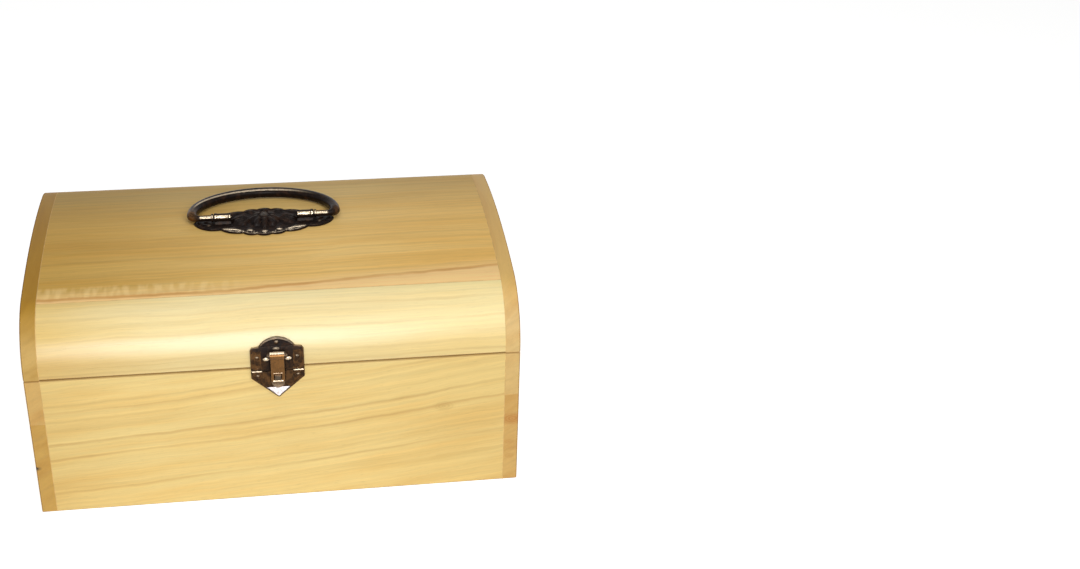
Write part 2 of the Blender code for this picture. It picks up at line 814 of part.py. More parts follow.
def bulged(start, end, bulge, steps):
    # Points of a circular arc from start towards end that stands out to the left by the bulge
    start = Vector(start)
    end = Vector(end)
    chord = end - start
    across = Vector((chord.y, -chord.x)).normalized()
    radius = (chord.length**2 / 4 + bulge**2) / (2 * bulge)
    centre = (start + end) / 2 + across * (bulge - radius)
    half_sweep = asin(min(1.0, chord.length / (2 * radius)))
    points = []
    for step in range(steps):
        angle = half_sweep * (2 * step / steps - 1)
        points.append(centre + radius * (across * cos(angle) + chord.normalized() * sin(angle)))
    return points


def handle_outline():
    # A scalloped plate: one quarter is drawn and turned into the other three
    size = Vector((handle_half_length, handle_half_depth))
    cusps = [Vector((x * size.x, y * size.y)) for x, y in cusp_shares]
    quarter = []
    for start, end, share in zip(cusps, cusps[1:], bulge_shares):
        quarter.extend(bulged(start, end, share * size.y, 5))
    last = cusps[-1]
    middle = bulged(last, Vector((-last.x, last.y)), middle_bulge_share * size.y, 6)
    upper = quarter + middle + [Vector((-point.x, point.y)) for point in [last] + quarter[:0:-1]]
    lower = [-point for point in upper]
    return upper + lower


def on_handle_plate(side, front, shares):
    # A place in one quarter of the plate, by shares of its half sizes
    return side * shares[0] * handle_half_length, front * shares[1] * handle_half_depth


def add_dome(shape, centre, radii, height, sides, petals=0):
    # A low dome on the plate; petals ripple its outline
    rings = 4
    base = glue_gap + handle_plate
    top = shape.verts.new((centre[0], centre[1], base + height))
    sunk = base - dome_sink
    levels = [(1.0, sunk)] + [(cos(pi / 2 * step / rings), base + height * sin(pi / 2 * step / rings))
                              for step in range(rings)]
    loops = []
    for share, z in levels:
        loop = []
        for side in range(sides):
            angle = 2 * pi * side / sides
            ripple = 1 + petal_share * share * cos(petals * angle) if petals else 1.0
            loop.append(shape.verts.new((centre[0] + radii[0] * share * ripple * cos(angle),
                                         centre[1] + radii[1] * share * ripple * sin(angle), z)))
        loops.append(loop)
    shape.faces.new(loops[0][::-1])
    for lower, upper in zip(loops, loops[1:]):
        for side in range(sides):
            after = (side + 1) % sides
            shape.faces.new((lower[side], lower[after], upper[after], upper[side]))
    for side in range(sides):
        shape.faces.new((loops[-1][side], loops[-1][(side + 1) % sides], top))


def bail_route():
    # Half of the bail from inside its socket to the top, in its own plane, with the radius there.
    # The bar swells to its full radius within the bend.
    inner = socket_outer - socket_bore_depth + running_gap
    collar_start = socket_outer + running_gap
    collar_end = collar_start + bail_collar_length
    straight = bail_half_width - bail_bend_radius
    route = [(inner, 0.0, bail_end_radius - seat_gap), (inner + seat_gap, 0.0, bail_end_radius),
             (collar_start - same_place, 0.0, bail_end_radius), (collar_start, 0.0, bail_collar_radius),
             (collar_end, 0.0, bail_collar_radius), (collar_end + same_place, 0.0, bail_end_radius)]
    for step in range(bend_steps + 1):
        angle = pi / 2 * step / bend_steps
        radius = bail_end_radius + (bail_radius - bail_end_radius) * sin(angle)**2
        route.append((straight + bail_bend_radius * sin(angle), bail_bend_radius * (1 - cos(angle)), radius))
    rise = bail_reach - bail_bend_radius
    for step in range(1, bail_steps + 1):
        angle = pi / 2 * step / bail_steps
        route.append((bail_half_width * cos(angle), bail_bend_radius + rise * sin(angle), bail_radius))
    return route


def make_bail():
    half = bail_route()
    whole = half + [(-x, y, radius) for x, y, radius in half[-2::-1]]
    curve = bpy.data.curves.new("handle_bail", "CURVE")
    curve.dimensions = "3D"
    curve.bevel_depth = bail_radius
    curve.bevel_resolution = curve_resolution
    curve.use_fill_caps = True
    spline = curve.splines.new("POLY")
    spline.points.add(len(whole) - 1)
    dip = bail_dip()
    for point, (x, y, radius) in zip(spline.points, whole):
        point.co = (x, y * cos(dip), -y * sin(dip), 1.0)
        point.radius = radius / bail_radius
    curve.materials.append(bronze)
    bail = bpy.data.objects.new("handle_bail", curve)
    bpy.context.collection.objects.link(bail)
    bail.location = (0.0, 0.0, pivot_height)
    bail.parent = handle_seat


def bail_dip():
    # The bail lies back until it meets the falling crown of the lid, at its tip or before
    lift = pivot_height - bail_radius - glue_gap
    meeting = min(bail_reach, sqrt(2 * crown_radius * lift))
    return asin((lift + meeting**2 / (2 * crown_radius)) / meeting)


def make_handle(lid_top):
    top = glue_gap + handle_plate
    shape = pattern(handle_outline(), crown_face, glue_gap, top, handle_edge, handle_bend_spacing)
    plate = piece("handle_plate", shape, bronze, handle_seat, smooth_angle=smooth_angle)

    ornament = bmesh.new()
    for side in (-1, 1):
        add_dome(ornament, (side * side_dome_place, 0.0), (side_dome_length, side_dome_depth),
                 side_dome_height, small_sides)
        for front in (-1, 1):
            centre = on_handle_plate(side, front, roll_shares)
            add_dome(ornament, centre, (roll_length, roll_depth), roll_height, small_sides)
    weld(plate, tool("handle_domes", ornament, handle_seat))
    beads = bmesh.new()
    for shares in bead_shares:
        for side in (-1, 1) if shares[0] else (1,):
            for front in (-1, 1):
                centre = on_handle_plate(side, front, shares)
                add_dome(beads, centre, (bead_radius, bead_radius), bead_height, brad_sides)
    weld(plate, tool("handle_beads", beads, handle_seat))
    rosette = bmesh.new()
    radii = (rosette_radius, rosette_radius)
    add_dome(rosette, (0.0, 0.0), radii, rosette_height, 4 * petal_count, petal_count)
    weld(plate, tool("handle_rosette", rosette, handle_seat))
    sockets = bmesh.new()
    pedestals = bmesh.new()
    bores = bmesh.new()
    for side in (-1, 1):
        outer = side * socket_outer
        add_rod(sockets, (outer - side * socket_length, 0.0, pivot_height), (outer, 0.0, pivot_height),
                socket_radius, fine_sides)
        ends = sorted((outer, outer - side * socket_length))
        add_block(pedestals, (ends[0] + seat_gap, -pedestal_half_depth, top - pedestal_sink),
                  (ends[1] - seat_gap, pedestal_half_depth, pivot_height))
        add_rod(bores, (outer - side * socket_bore_depth, 0.0, pivot_height),
                (outer + side * overrun, 0.0, pivot_height), bail_end_radius + running_gap, small_sides)
    weld(plate, tool("handle_pedestals", pedestals, handle_seat))
    weld(plate, tool("handle_sockets", sockets, handle_seat))
    cut(plate, tool("handle_bores", bores, handle_seat))

    up = Vector((0.0, 0.0, 1.0))
    places = [((*on_handle_plate(side, front, handle_brad_shares), top), up)
              for side in (-1, 1) for front in (-1, 1)]
    drive_brads("handle_brad", places, plate, lid_top, handle_seat)


remove_everything()

smooth_angle = radians(30.0)
hasp_axis = lid_face(hasp_pin_height, glue_gap + hasp_plate + running_gap + lever_barrel_radius)
lever_tip = lever_face(lever_length, lever_thickness / 2)[0]
hook_front = hasp_axis[0] - lever_thickness / 2 - running_gap - hook_thickness
barrel_reach = (lever_width + seat_gap) / 2
column_inner = barrel_reach + running_gap
lid_plate_start = hasp_plate_gap - catch_drop - seam_gap
catch_slope = hasp_width / 2 / (catch_point - catch_side)
hasp_reach = -half_depth - min(lever_tip, hook_front, hasp_axis[0] - lever_barrel_radius)
hinge_reach = hinge_axis_y + hinge_barrel_radius - half_depth
lid_origin = (0.0, hinge_axis_y, hinge_axis_z)

pale_wood = finish("pale_wood", (0.78, 0.56, 0.27), 0.55, 0.0)
dark_wood = finish("panel_wood", (0.62, 0.40, 0.17), 0.6, 0.0)
bronze = finish("antique_bronze", (0.13, 0.09, 0.055), 0.35, 1.0)
guide_finish = finish("guide", (0.5, 0.5, 0.5), 0.5, 0.0)

# Everything hangs on one empty, set so that the hasp and the hinges reach equally far from the origin
case = empty("case", (0.0, (hasp_reach - hinge_reach) / 2, 0.0))
seat_slope = asin(handle_back_shift / crown_radius)
seat_place = (handle_side_shift, handle_back_shift, crown_centre_z + crown_radius * cos(seat_slope))
handle_seat = empty("handle_seat", seat_place, case)
handle_seat.rotation_euler = (-seat_slope, 0.0, 0.0)

brad = turned_mesh("brad", brad_profile(), brad_sides)
body = make_body()
lid = make_lid()
make_hinges(body["back_board"], lid["lid_back_shoulder"])
make_lever(make_lid_plate(lid["lid_front_shoulder"]))
make_catch(body["front_board"])
make_handle(lid["lid_top_board"])
make_bail()
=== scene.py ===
import json
from math import asin, atan2, cos, pi, radians, sin, sqrt

import bmesh
import bpy
from mathutils import Matrix, Vector

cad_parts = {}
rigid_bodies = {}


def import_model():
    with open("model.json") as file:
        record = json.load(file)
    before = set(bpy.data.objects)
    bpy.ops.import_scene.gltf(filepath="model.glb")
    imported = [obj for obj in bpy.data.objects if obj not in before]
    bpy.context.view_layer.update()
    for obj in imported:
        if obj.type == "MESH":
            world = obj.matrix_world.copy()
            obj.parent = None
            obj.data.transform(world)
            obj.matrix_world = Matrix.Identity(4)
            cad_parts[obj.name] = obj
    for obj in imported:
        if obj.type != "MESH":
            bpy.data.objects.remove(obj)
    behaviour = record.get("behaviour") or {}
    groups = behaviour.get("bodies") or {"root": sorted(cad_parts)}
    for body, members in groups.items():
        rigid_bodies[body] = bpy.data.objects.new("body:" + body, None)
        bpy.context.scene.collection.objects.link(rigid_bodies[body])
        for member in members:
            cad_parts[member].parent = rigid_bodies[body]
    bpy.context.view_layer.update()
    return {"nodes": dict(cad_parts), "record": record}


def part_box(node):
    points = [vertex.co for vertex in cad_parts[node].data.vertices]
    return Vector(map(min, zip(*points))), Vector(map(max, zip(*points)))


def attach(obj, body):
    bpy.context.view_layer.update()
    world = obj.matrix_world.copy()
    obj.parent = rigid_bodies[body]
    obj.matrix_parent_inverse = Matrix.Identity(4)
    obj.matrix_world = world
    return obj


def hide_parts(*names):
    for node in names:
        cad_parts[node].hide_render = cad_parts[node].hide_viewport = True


for leftover in list(bpy.data.objects):
    bpy.data.objects.remove(leftover, do_unlink=True)

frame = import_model()
nodes = frame["nodes"]
bodyOf = {node: body for body, members in frame["record"]["behaviour"]["bodies"].items()
          for node in members}
print("frame loaded:", len(nodes), "nodes")

mm = 0.001
samePlace = 0.002 * mm
white = (1.0, 1.0, 1.0, 1.0)


# Camera, lamps and floor

view = {
    "place": (0.002389, -0.842793, 0.569227),
    "turn": (60.11, -1.871, -9.407),  # degrees
    "lens": 54.66,
}

# Watts for lamps; each lamp looks at the middle of the box
lamps = {
    "keyLamp": {"place": (0.45, -0.85, 0.85), "width": 0.4, "height": 0.4, "power": 3.0},
    "windowLamp": {"place": (-0.07, -1.35, 0.52), "width": 0.44, "height": 0.72, "power": 8.0},
    "ceilingLamp": {"place": (0.0, -0.22, 1.05), "width": 0.8, "height": 0.12, "power": 1.9},
}
lampTarget = Vector((0.0, -0.04, 0.08))

surroundings = {
    "ambient": 0.20,       # light that reaches the box from all around
    "floorColour": (0.90, 0.90, 0.89),
    "floorGlow": 0.70,     # what the floor needs on top of the lamps to show white
    "floorReach": 4.0,
}


def addObject(name, data):
    made = bpy.data.objects.new(name, data)
    bpy.context.scene.collection.objects.link(made)
    return made


def makeCamera():
    camera = addObject("camera", bpy.data.cameras.new("camera"))
    camera.location = view["place"]
    camera.rotation_euler = [radians(angle) for angle in view["turn"]]
    camera.data.lens = view["lens"]
    bpy.context.scene.camera = camera


def makeLamps():
    for name, facts in lamps.items():
        light = bpy.data.lights.new(name, "AREA")
        light.shape = "RECTANGLE"
        light.size, light.size_y = facts["width"], facts["height"]
        light.energy = facts["power"]
        lamp = addObject(name, light)
        lamp.location = facts["place"]
        lamp.rotation_euler = (lampTarget - lamp.location).to_track_quat("-Z", "Y").to_euler()


# Small helpers for node trees

def fill(tree, node, inputs):
    # inputs gives sockets to link or plain values, by name or number
    for key, value in inputs.items():
        if isinstance(value, bpy.types.NodeSocket):
            tree.links.new(value, node.inputs[key])
        else:
            node.inputs[key].default_value = value


def addStep(tree, kind, inputs=None, **settings):
    # A kind without its family's name is a shader node
    node = tree.nodes.new(kind if "Node" in kind else "ShaderNode" + kind)
    for key, value in settings.items():
        setattr(node, key, value)
    fill(tree, node, inputs or {})
    return node


def calc(tree, operation, *values, clamp=False):
    inputs = dict(enumerate(values))
    return addStep(tree, "Math", inputs, operation=operation, use_clamp=clamp).outputs[0]


def vectorCalc(tree, operation, *values):
    outputs = addStep(tree, "VectorMath", dict(enumerate(values)), operation=operation).outputs
    return outputs["Value" if operation in ("DOT_PRODUCT", "LENGTH") else "Vector"]


def carried(tree, name):
    # A number that the mesh carries for its faces or corners
    return addStep(tree, "Attribute", attribute_name=name).outputs["Fac"]


def noise(tree, vector, scale, detail=2.0, roughness=0.5):
    spread = vectorCalc(tree, "MULTIPLY", vector, scale)
    inputs = {"Vector": spread, "Scale": 1.0, "Detail": detail, "Roughness": roughness}
    return addStep(tree, "TexNoise", inputs).outputs[0]


def between(tree, value, low, high, newLow=0.0, newHigh=1.0):
    # Maps a stretch of values smoothly on another, and holds it outside
    inputs = {"Value": value, "From Min": low, "From Max": high, "To Min": newLow, "To Max": newHigh}
    return addStep(tree, "MapRange", inputs, interpolation_type="SMOOTHSTEP").outputs[0]


def mixColour(tree, factor, first, second, blend="MIX"):
    first, second = ((*value, 1.0) if isinstance(value, tuple) else value for value in (first, second))
    inputs = {0: factor, 6: first, 7: second}
    return addStep(tree, "Mix", inputs, data_type="RGBA", blend_type=blend).outputs[2]


def bumped(tree, relief, strength, distance):
    inputs = {"Height": relief, "Strength": strength, "Distance": distance * mm}
    return addStep(tree, "Bump", inputs).outputs["Normal"]


def newMaterial(name):
    material = bpy.data.materials.new(name)
    material.use_nodes = True
    tree = material.node_tree
    return material, tree, tree.nodes["Principled BSDF"]


def seenDirectly(tree):
    # 1 for the camera, for mirrors and for glass
    path = addStep(tree, "LightPath").outputs
    most = calc(tree, "MAXIMUM", path["Is Camera Ray"], path["Is Glossy Ray"])
    return calc(tree, "MAXIMUM", most, path["Is Transmission Ray"])


def makeWorld():
    world = bpy.data.worlds.new("studio")
    world.use_nodes = True
    bpy.context.scene.world = world
    tree, ambient = world.node_tree, surroundings["ambient"]
    strength = calc(tree, "MULTIPLY_ADD", seenDirectly(tree), 1.0 - ambient, ambient)
    fill(tree, tree.nodes["Background"], {"Color": white, "Strength": strength})


def makeFloor():
    reach = surroundings["floorReach"]
    mesh = bpy.data.meshes.new("floor")
    corners = [(-reach, -reach, 0.0), (reach, -reach, 0.0), (reach, reach, 0.0), (-reach, reach, 0.0)]
    mesh.from_pydata(corners, [], [(0, 1, 2, 3)])
    floor = addObject("floor", mesh)
    paper, tree, shader = newMaterial("paleFloor")
    glow = calc(tree, "MULTIPLY", seenDirectly(tree), surroundings["floorGlow"])
    fill(tree, shader, {"Base Color": (*surroundings["floorColour"], 1.0), "Roughness": 0.9,
                        "Specular IOR Level": 0.0, "Emission Color": white, "Emission Strength": glow})
    mesh.materials.append(paper)


# Wood: growth lines, streaks, pores and patches follow the grain of each board

paleWood = {
    "pale": (0.86, 0.652, 0.262),
    "warm": (0.82, 0.565, 0.195),
    "line": (0.56, 0.340, 0.100),
    "patches": (0.38, 0.68),
    "streak": 0.20,
    "pore": 0.07,
    "roughness": 0.47,
    "specular": 0.4,
    "turn": (0.0, 0.0, 0.0),      # of the grain, which otherwise runs along X
    "grainWay": (1.0, 0.0, 0.0),
    "endShade": 0.12,             # how much darker the cut ends of the fibres are
    "bend": 0.0,                  # of the growth lines along the board
    "slowWave": 5.0,              # how far they wander, in millimetres
    "quickWave": 1.4,
    "lineGaps": (0.28, 0.62, 0.35, 1.1),
    "knotRings": 5.5,             # to the millimetre, as an angle
    "fleckColour": (1.0, 0.72, 0.31),
    "bareTint": (0.80, 0.62, 0.44),
    "grimeTint": (0.34, 0.22, 0.12),
}
# The noises in it: how fine they are along the grain, across and over the layers, detail and roughness
figure = {
    "slowWave": ((14.0, 20.0, 20.0), 1.0, 0.5),
    "quickWave": ((70.0, 90.0, 90.0), 2.0, 0.5),
    "patches": ((6.0, 30.0, 75.0), 4.0, 0.6),
    "streaks": ((7.0, 260.0, 520.0), 6.0, 0.62),
    "fibres": ((60.0, 1500.0, 2600.0), 3.0, 0.6),
    "pores": ((190.0, 2100.0, 2300.0), 1.0, 0.5),
    "fading": ((16.0, 60.0, 60.0), 3.0, 0.6),
    "flecks": ((330.0, 85.0, 1.0), 1.0, 0.4),
}


def growthLines(tree, height, lines):
    # A ramp over the height across the board holds up to ten darker lines. Each is its height in
    # millimetres, its half width and its strength, and starts a little softer than it ends.
    margin, softStart = 4.0, 1.6
    low = min(place - width for place, width, strength in lines) - margin
    high = max(place + width for place, width, strength in lines) + margin
    share = calc(tree, "DIVIDE", calc(tree, "SUBTRACT", height, low * mm), (high - low) * mm)
    node = addStep(tree, "ValToRGB", {"Fac": share})
    stops = [(low, 0.0), (high, 0.0)]
    for place, width, strength in lines:
        stops += [(place - softStart * width, 0.0), (place, strength), (place + width, 0.0)]
    stops = [((place - low) / (high - low), strength) for place, strength in sorted(stops)]
    elements = node.color_ramp.elements
    elements[0].position, elements[1].position = 0.0, 1.0
    for position, strength in stops[1:-1]:
        elements.new(position)
    for element, (position, strength) in zip(elements, stops):
        element.position = position
        element.color = (strength, strength, strength, 1.0)
    return node.outputs["Color"]


def woodMaterial(name, look):
    material, tree, shader = newMaterial(name)
    coordinates = addStep(tree, "TexCoord").outputs
    seat = {"Vector": coordinates["Object"], "Location": [place * mm for place in look["seat"]],
            "Rotation": look["turn"]}
    turned = addStep(tree, "Mapping", seat, vector_type="TEXTURE").outputs["Vector"]
    along, thick = addStep(tree, "SeparateXYZ", {"Vector": turned}).outputs[:2]

    def swayed(value, wave, reach):
        # A noise carries the value by half the reach to each side
        return calc(tree, "MULTIPLY_ADD", wave, reach * mm, calc(tree, "SUBTRACT", value, reach / 2 * mm))

    def tinted(colour, value, start, end, tint):
        return mixColour(tree, between(tree, value, start * mm, end * mm), colour, tint, "MULTIPLY")

    # Height over the growth layers: straight for the most part, slightly bent and wavy
    height = vectorCalc(tree, "DOT_PRODUCT", turned, look["growth"])
    if look.get("onArc"):
        # On a bent board the layers follow its surface instead
        arc = carried(tree, "arc")
        height = calc(tree, "MULTIPLY_ADD", along, look["growth"][0], arc)
    bent = calc(tree, "MULTIPLY", calc(tree, "MULTIPLY", along, along), look["bend"] / mm)
    height = calc(tree, "SUBTRACT", height, bent)
    apart = vectorCalc(tree, "ADD", turned, (look["seed"], 0.0, 0.0))
    slowWave = noise(tree, apart, *figure["slowWave"])
    quickWave = noise(tree, apart, *figure["quickWave"])
    height = swayed(swayed(height, slowWave, look["slowWave"]), quickWave, look["quickWave"])

    # The same place in the board, straightened along its grain
    shifted = calc(tree, "ADD", along, look["seed"])
    grain = addStep(tree, "CombineXYZ", {"X": shifted, "Y": thick, "Z": height}).outputs["Vector"]
    patches, streaks, fibres, pores, fading = (
        noise(tree, grain, *figure[part]) for part in ("patches", "streaks", "fibres", "pores", "fading"))
    pores = between(tree, pores, 0.62, 0.74)

    colour = mixColour(tree, between(tree, patches, *look["patches"]), look["pale"], look["warm"])
    for start, end, tint in look.get("drifts", ()):
        # Painted shade: the board turns darker and browner towards an end, where less light falls
        colour = tinted(colour, calc(tree, "MULTIPLY_ADD", fading, 40.0 * mm, along), start, end, tint)
    if "wedge" in look:
        # A redder layer starts at the board's edge and widens along it, closed by a darker line
        start, slope, edge, tint = look["wedge"]
        reach = calc(tree, "MAXIMUM", calc(tree, "SUBTRACT", along, start * mm), 0.0)
        reach = calc(tree, "MULTIPLY_ADD", reach, slope, edge * mm)
        over = calc(tree, "SUBTRACT", swayed(arc, quickWave, 2.4), reach)
        inside = between(tree, over, 1.0 * mm, -1.0 * mm, 0.0, 0.92)
        above = between(tree, over, 9.0 * mm, 1.0 * mm, 0.0, 0.52)
        colour = mixColour(tree, calc(tree, "MAXIMUM", inside, above), colour, tint)
        closing = between(tree, calc(tree, "ABSOLUTE", over), 1.9 * mm, 0.3 * mm, 0.0, 0.85)
        closing = calc(tree, "MULTIPLY", closing, between(tree, fading, 0.3, 0.6, 0.5, 1.0))
        colour = mixColour(tree, closing, colour, look["closing"])
    if "flecks" in look:
        # Rays cut lengthwise show as short pale marks across the grain
        right, low, high = look["flecks"]
        sheet = addStep(tree, "CombineXYZ", {"X": along, "Y": arc}).outputs["Vector"]
        spots = between(tree, noise(tree, sheet, *figure["flecks"]), 0.36, 0.70, 0.0, 0.55)
        limits = ((arc, low, low + 2.0), (arc, high, high - 4.0), (along, right, right - 35.0))
        for value, start, end in limits:
            spots = calc(tree, "MULTIPLY", spots, between(tree, value, start * mm, end * mm))
        colour = mixColour(tree, spots, colour, look["fleckColour"])
    gaps = between(tree, fading, *look["lineGaps"])
    lines = calc(tree, "MULTIPLY", growthLines(tree, height, look["lines"]), gaps)
    colour = mixColour(tree, lines, colour, look["line"])
    for x, y, z, radius, strength in look.get("knots", ()):
        # A knot darkens towards its rings and reddens the wood round it; it is longer along the grain
        offset = vectorCalc(tree, "SUBTRACT", coordinates["Object"], (x * mm, y * mm, z * mm))
        distance = vectorCalc(tree, "LENGTH", vectorCalc(tree, "MULTIPLY", offset, (0.55, 1.0, 1.0)))
        distance = swayed(distance, quickWave, 2.5)
        rings = calc(tree, "SINE", calc(tree, "MULTIPLY", distance, look["knotRings"] / mm))
        rings = calc(tree, "MULTIPLY_ADD", rings, 0.25, 0.75)
        reach = between(tree, distance, radius * mm, 0.3 * radius * mm, 0.0, strength)
        colour = mixColour(tree, calc(tree, "MULTIPLY", reach, rings), colour, look["knotColour"])

    # Streaks, fibres, pores and cut ends change how light the wood is
    streak = look["streak"]
    tone = calc(tree, "MULTIPLY_ADD", streaks, streak, 1.0 - streak / 2)
    tone = calc(tree, "MULTIPLY_ADD", fibres, streak / 2, calc(tree, "SUBTRACT", tone, streak / 4))
    tone = calc(tree, "MULTIPLY_ADD", pores, -look["pore"], tone)
    facing = vectorCalc(tree, "DOT_PRODUCT", coordinates["Normal"], look["grainWay"])
    cutEnds = between(tree, calc(tree, "ABSOLUTE", facing), 0.6, 0.85)
    tone = calc(tree, "MULTIPLY_ADD", cutEnds, -look["endShade"], tone)
    bare, grime = carried(tree, "bare"), carried(tree, "grime")
    # Inside faces darken: bare wood and painted shade inside the box
    colour = mixColour(tree, calc(tree, "MULTIPLY", bare, 0.75), colour, look["bareTint"], "MULTIPLY")
    # Edges darken with grime and painted shade, most at the seam
    colour = mixColour(tree, grime, colour, look["grimeTint"], "MULTIPLY")
    colour = addStep(tree, "HueSaturation", {"Value": tone, "Color": colour}).outputs["Color"]
    if "rise" in look:
        # The tint comes on along the arc; on the top board it is painted shade towards the back
        colour = tinted(colour, arc, *look["rise"])
    if "climb" in look:
        # Or with the height over the table: on the lid's ends this is painted shade towards the top
        level = addStep(tree, "SeparateXYZ", {"Vector": coordinates["Object"]}).outputs["Z"]
        colour = tinted(colour, level, *look["climb"])

    gloss = calc(tree, "MULTIPLY_ADD", streaks, 0.16, look["roughness"] - 0.08)
    if "shine" in look:
        # The board is rubbed smoother below this line
        line, drop = look["shine"]
        edge = calc(tree, "MULTIPLY_ADD", slowWave, 3.0 * mm, (line - 1.5) * mm)
        gloss = calc(tree, "MULTIPLY_ADD", calc(tree, "LESS_THAN", arc, edge), -drop, gloss)
    gloss = calc(tree, "MULTIPLY_ADD", bare, 0.25, gloss)
    gloss = calc(tree, "MULTIPLY_ADD", grime, 0.35, gloss)
    relief = calc(tree, "MULTIPLY_ADD", fibres, 0.5, calc(tree, "MULTIPLY", pores, -0.6))
    fill(tree, shader, {"Base Color": colour, "Roughness": gloss, "Specular IOR Level": look["specular"],
                        "Normal": bumped(tree, relief, 0.22, 0.06)})
    return material


def mottledMaterial(name, look):
    # Two tones in soft spots, for the lid's bare edge, dark with dirt and painted seam shade, and for the
    # dried glue
    material, tree, shader = newMaterial(name)
    spots = noise(tree, addStep(tree, "TexCoord").outputs["Object"], (look["fineness"],) * 3, 3.0)
    tone = mixColour(tree, between(tree, spots, *look["spots"]), look["dark"], look["pale"])
    fill(tree, shader, {"Base Color": tone, "Roughness": look["roughness"],
                        "Specular IOR Level": look["specular"]})
    return material


# Bronze: a black patina, browner in places, that handling has rubbed off where hands and edges meet.
# Face attributes steer it: one shows bare metal where worn and paints highlights in the same colour, brown
# the thinner patina and field the stippled ground.

darkBronze = {
    "patina": (0.010, 0.006, 0.005),
    "stain": (0.030, 0.014, 0.008),
    "brown": (0.165, 0.080, 0.028),
    "rubbed": (0.86, 0.70, 0.50),
    "mottle": 0.30,            # the thinner patina's share in its darkest spots
    "roughness": 0.28,
    "rubbedRoughness": 0.26,
    "metal": 0.06,             # how metallic the patina still looks
    "specular": 0.07,
    "stainFineness": 300.0,
    "gritFineness": 1900.0,
    "stippleFineness": 1500.0,
}


def bronzeMaterial(name, look):
    material, tree, shader = newMaterial(name)
    place = addStep(tree, "TexCoord").outputs["Object"]
    stains = noise(tree, place, (look["stainFineness"],) * 3, 4.0, 0.6)
    grit = noise(tree, place, (look["gritFineness"],) * 3, 3.0, 0.6)
    rubbed, brown, field = (carried(tree, label) for label in ("rubbed", "brown", "field"))
    dark = mixColour(tree, between(tree, stains, 0.45, 0.68), look["patina"], look["stain"])
    warm = calc(tree, "MULTIPLY", brown, between(tree, stains, 0.36, 0.60, look["mottle"], 1.0))
    dark = mixColour(tree, warm, dark, look["brown"])
    wornAndLitGrit = calc(tree, "MULTIPLY", rubbed, between(tree, grit, 0.34, 0.54, 0.45, 1.0), clamp=True)
    most = calc(tree, "MAXIMUM", wornAndLitGrit, warm)
    gloss = calc(tree, "MULTIPLY_ADD", stains, 0.16, look["roughness"] - 0.08)
    gloss = calc(tree, "MULTIPLY_ADD", field, 0.15, gloss)
    gloss = calc(tree, "MULTIPLY_ADD", wornAndLitGrit, look["rubbedRoughness"] - look["roughness"], gloss)
    stipple = {"Vector": place, "Scale": look["stippleFineness"]}
    stipple = between(tree, addStep(tree, "TexVoronoi", stipple).outputs["Distance"], 0.1, 0.7)
    stipple = calc(tree, "MULTIPLY", stipple, field)
    relief = calc(tree, "MULTIPLY_ADD", grit, 0.2, calc(tree, "MULTIPLY", stipple, -1.6))
    fill(tree, shader, {"Base Color": mixColour(tree, wornAndLitGrit, dark, look["rubbed"]), "Roughness": gloss,
                        "Metallic": calc(tree, "MULTIPLY_ADD", most, 1.0 - look["metal"], look["metal"]),
                        "Specular IOR Level": look["specular"], "Normal": bumped(tree, relief, 0.6, 0.07)})
    return material


# Small helpers for meshes

def fromMesh(mesh):
    shape = bmesh.new()
    shape.from_mesh(mesh)
    return shape


def toMesh(shape, name):
    mesh = bpy.data.meshes.new(name)
    shape.to_mesh(mesh)
    shape.free()
    return mesh


def evaluated(thing):
    graph = bpy.context.evaluated_depsgraph_get()
    return bpy.data.meshes.new_from_object(thing.evaluated_get(graph), depsgraph=graph)


def addBox(shape, low, high):
    low, high = Vector(low), Vector(high)
    place = Matrix.Translation((low + high) / 2) @ Matrix.Diagonal((*(high - low), 1.0))
    bmesh.ops.create_cube(shape, size=1.0, matrix=place)


def skin(shape, loops):
    # Joins each loop of corners to the next with faces; a loop of one corner makes a point
    made = []
    sides = max(len(loop) for loop in loops)
    for first, second in zip(loops, loops[1:]):
        for step in range(sides):
            after = (step + 1) % sides
            corners = (first[step % len(first)], second[step % len(second)], second[after % len(second)],
                       first[after % len(first)])
            made.append(shape.faces.new(list(dict.fromkeys(corners))))
    return made


def turnedAboutX(shape, profile, steps, place=Matrix.Identity(4)):
    # Spins places along and radii round the X axis, from axis to axis
    loops = []
    for x, radius in profile:
        angles = [2 * pi * step / steps for step in range(steps if radius > 0.0 else 1)]
        loops.append([shape.verts.new(place @ Vector((x, radius * cos(angle), radius * sin(angle))))
                      for angle in angles])
    return skin(shape, loops)


def bevel(shape, wanted, width, segments):
    edges = [edge for edge in shape.edges if wanted(edge)]
    return bmesh.ops.bevel(shape, geom=edges, offset=width, segments=segments, profile=0.5, affect="EDGES",
                           clamp_overlap=True)["faces"]


def addShaded(name, mesh, sharpAngle, weighted=True):
    # Smooth faces between sharp edges; weighted keeps the large ones flat
    mesh.shade_smooth()
    mesh.set_sharp_from_angle(angle=radians(sharpAngle))
    made = addObject(name, mesh)
    if weighted:
        made.modifiers.new("flatFaces", "WEIGHTED_NORMAL").keep_sharp = True
    return made


# Boards

case = {
    "length": 265.0 * mm,
    "depth": 178.0 * mm,
    "middle": 0.94 * mm,       # the case sits this far back, so that hasp and hinges reach equally far
    "rim": 86.2 * mm,          # lower edge of the lid
    "board": 8.0 * mm,
    "upright": 1.3 * mm,       # straight start of the lid's outline
    "shoulder": 33.5 * mm,
    "crown": 402.30 * mm,
    "joinAngle": radians(81.34),
    "glue": 0.3 * mm,
    "arris": 0.6 * mm,
    "seamReach": 1.0 * mm,     # over and under the seam, where dirt gathers and painted shade darkens the edges
    "grime": (0.55, 0.5, 1.0),     # on the other arrises, and on those under and over the seam
    "leafUnder": 85.0 * mm,    # lower face of the hinge leaves on the body
    "leafTop": 87.0 * mm,      # upper face of those on the lid
}
seam = {
    "dark": (0.33, 0.170, 0.055),
    "pale": (0.60, 0.38, 0.13),
    "fineness": 90.0,
    "spots": (0.4, 0.62),
    "roughness": 0.9,
    "specular": 0.0,
}

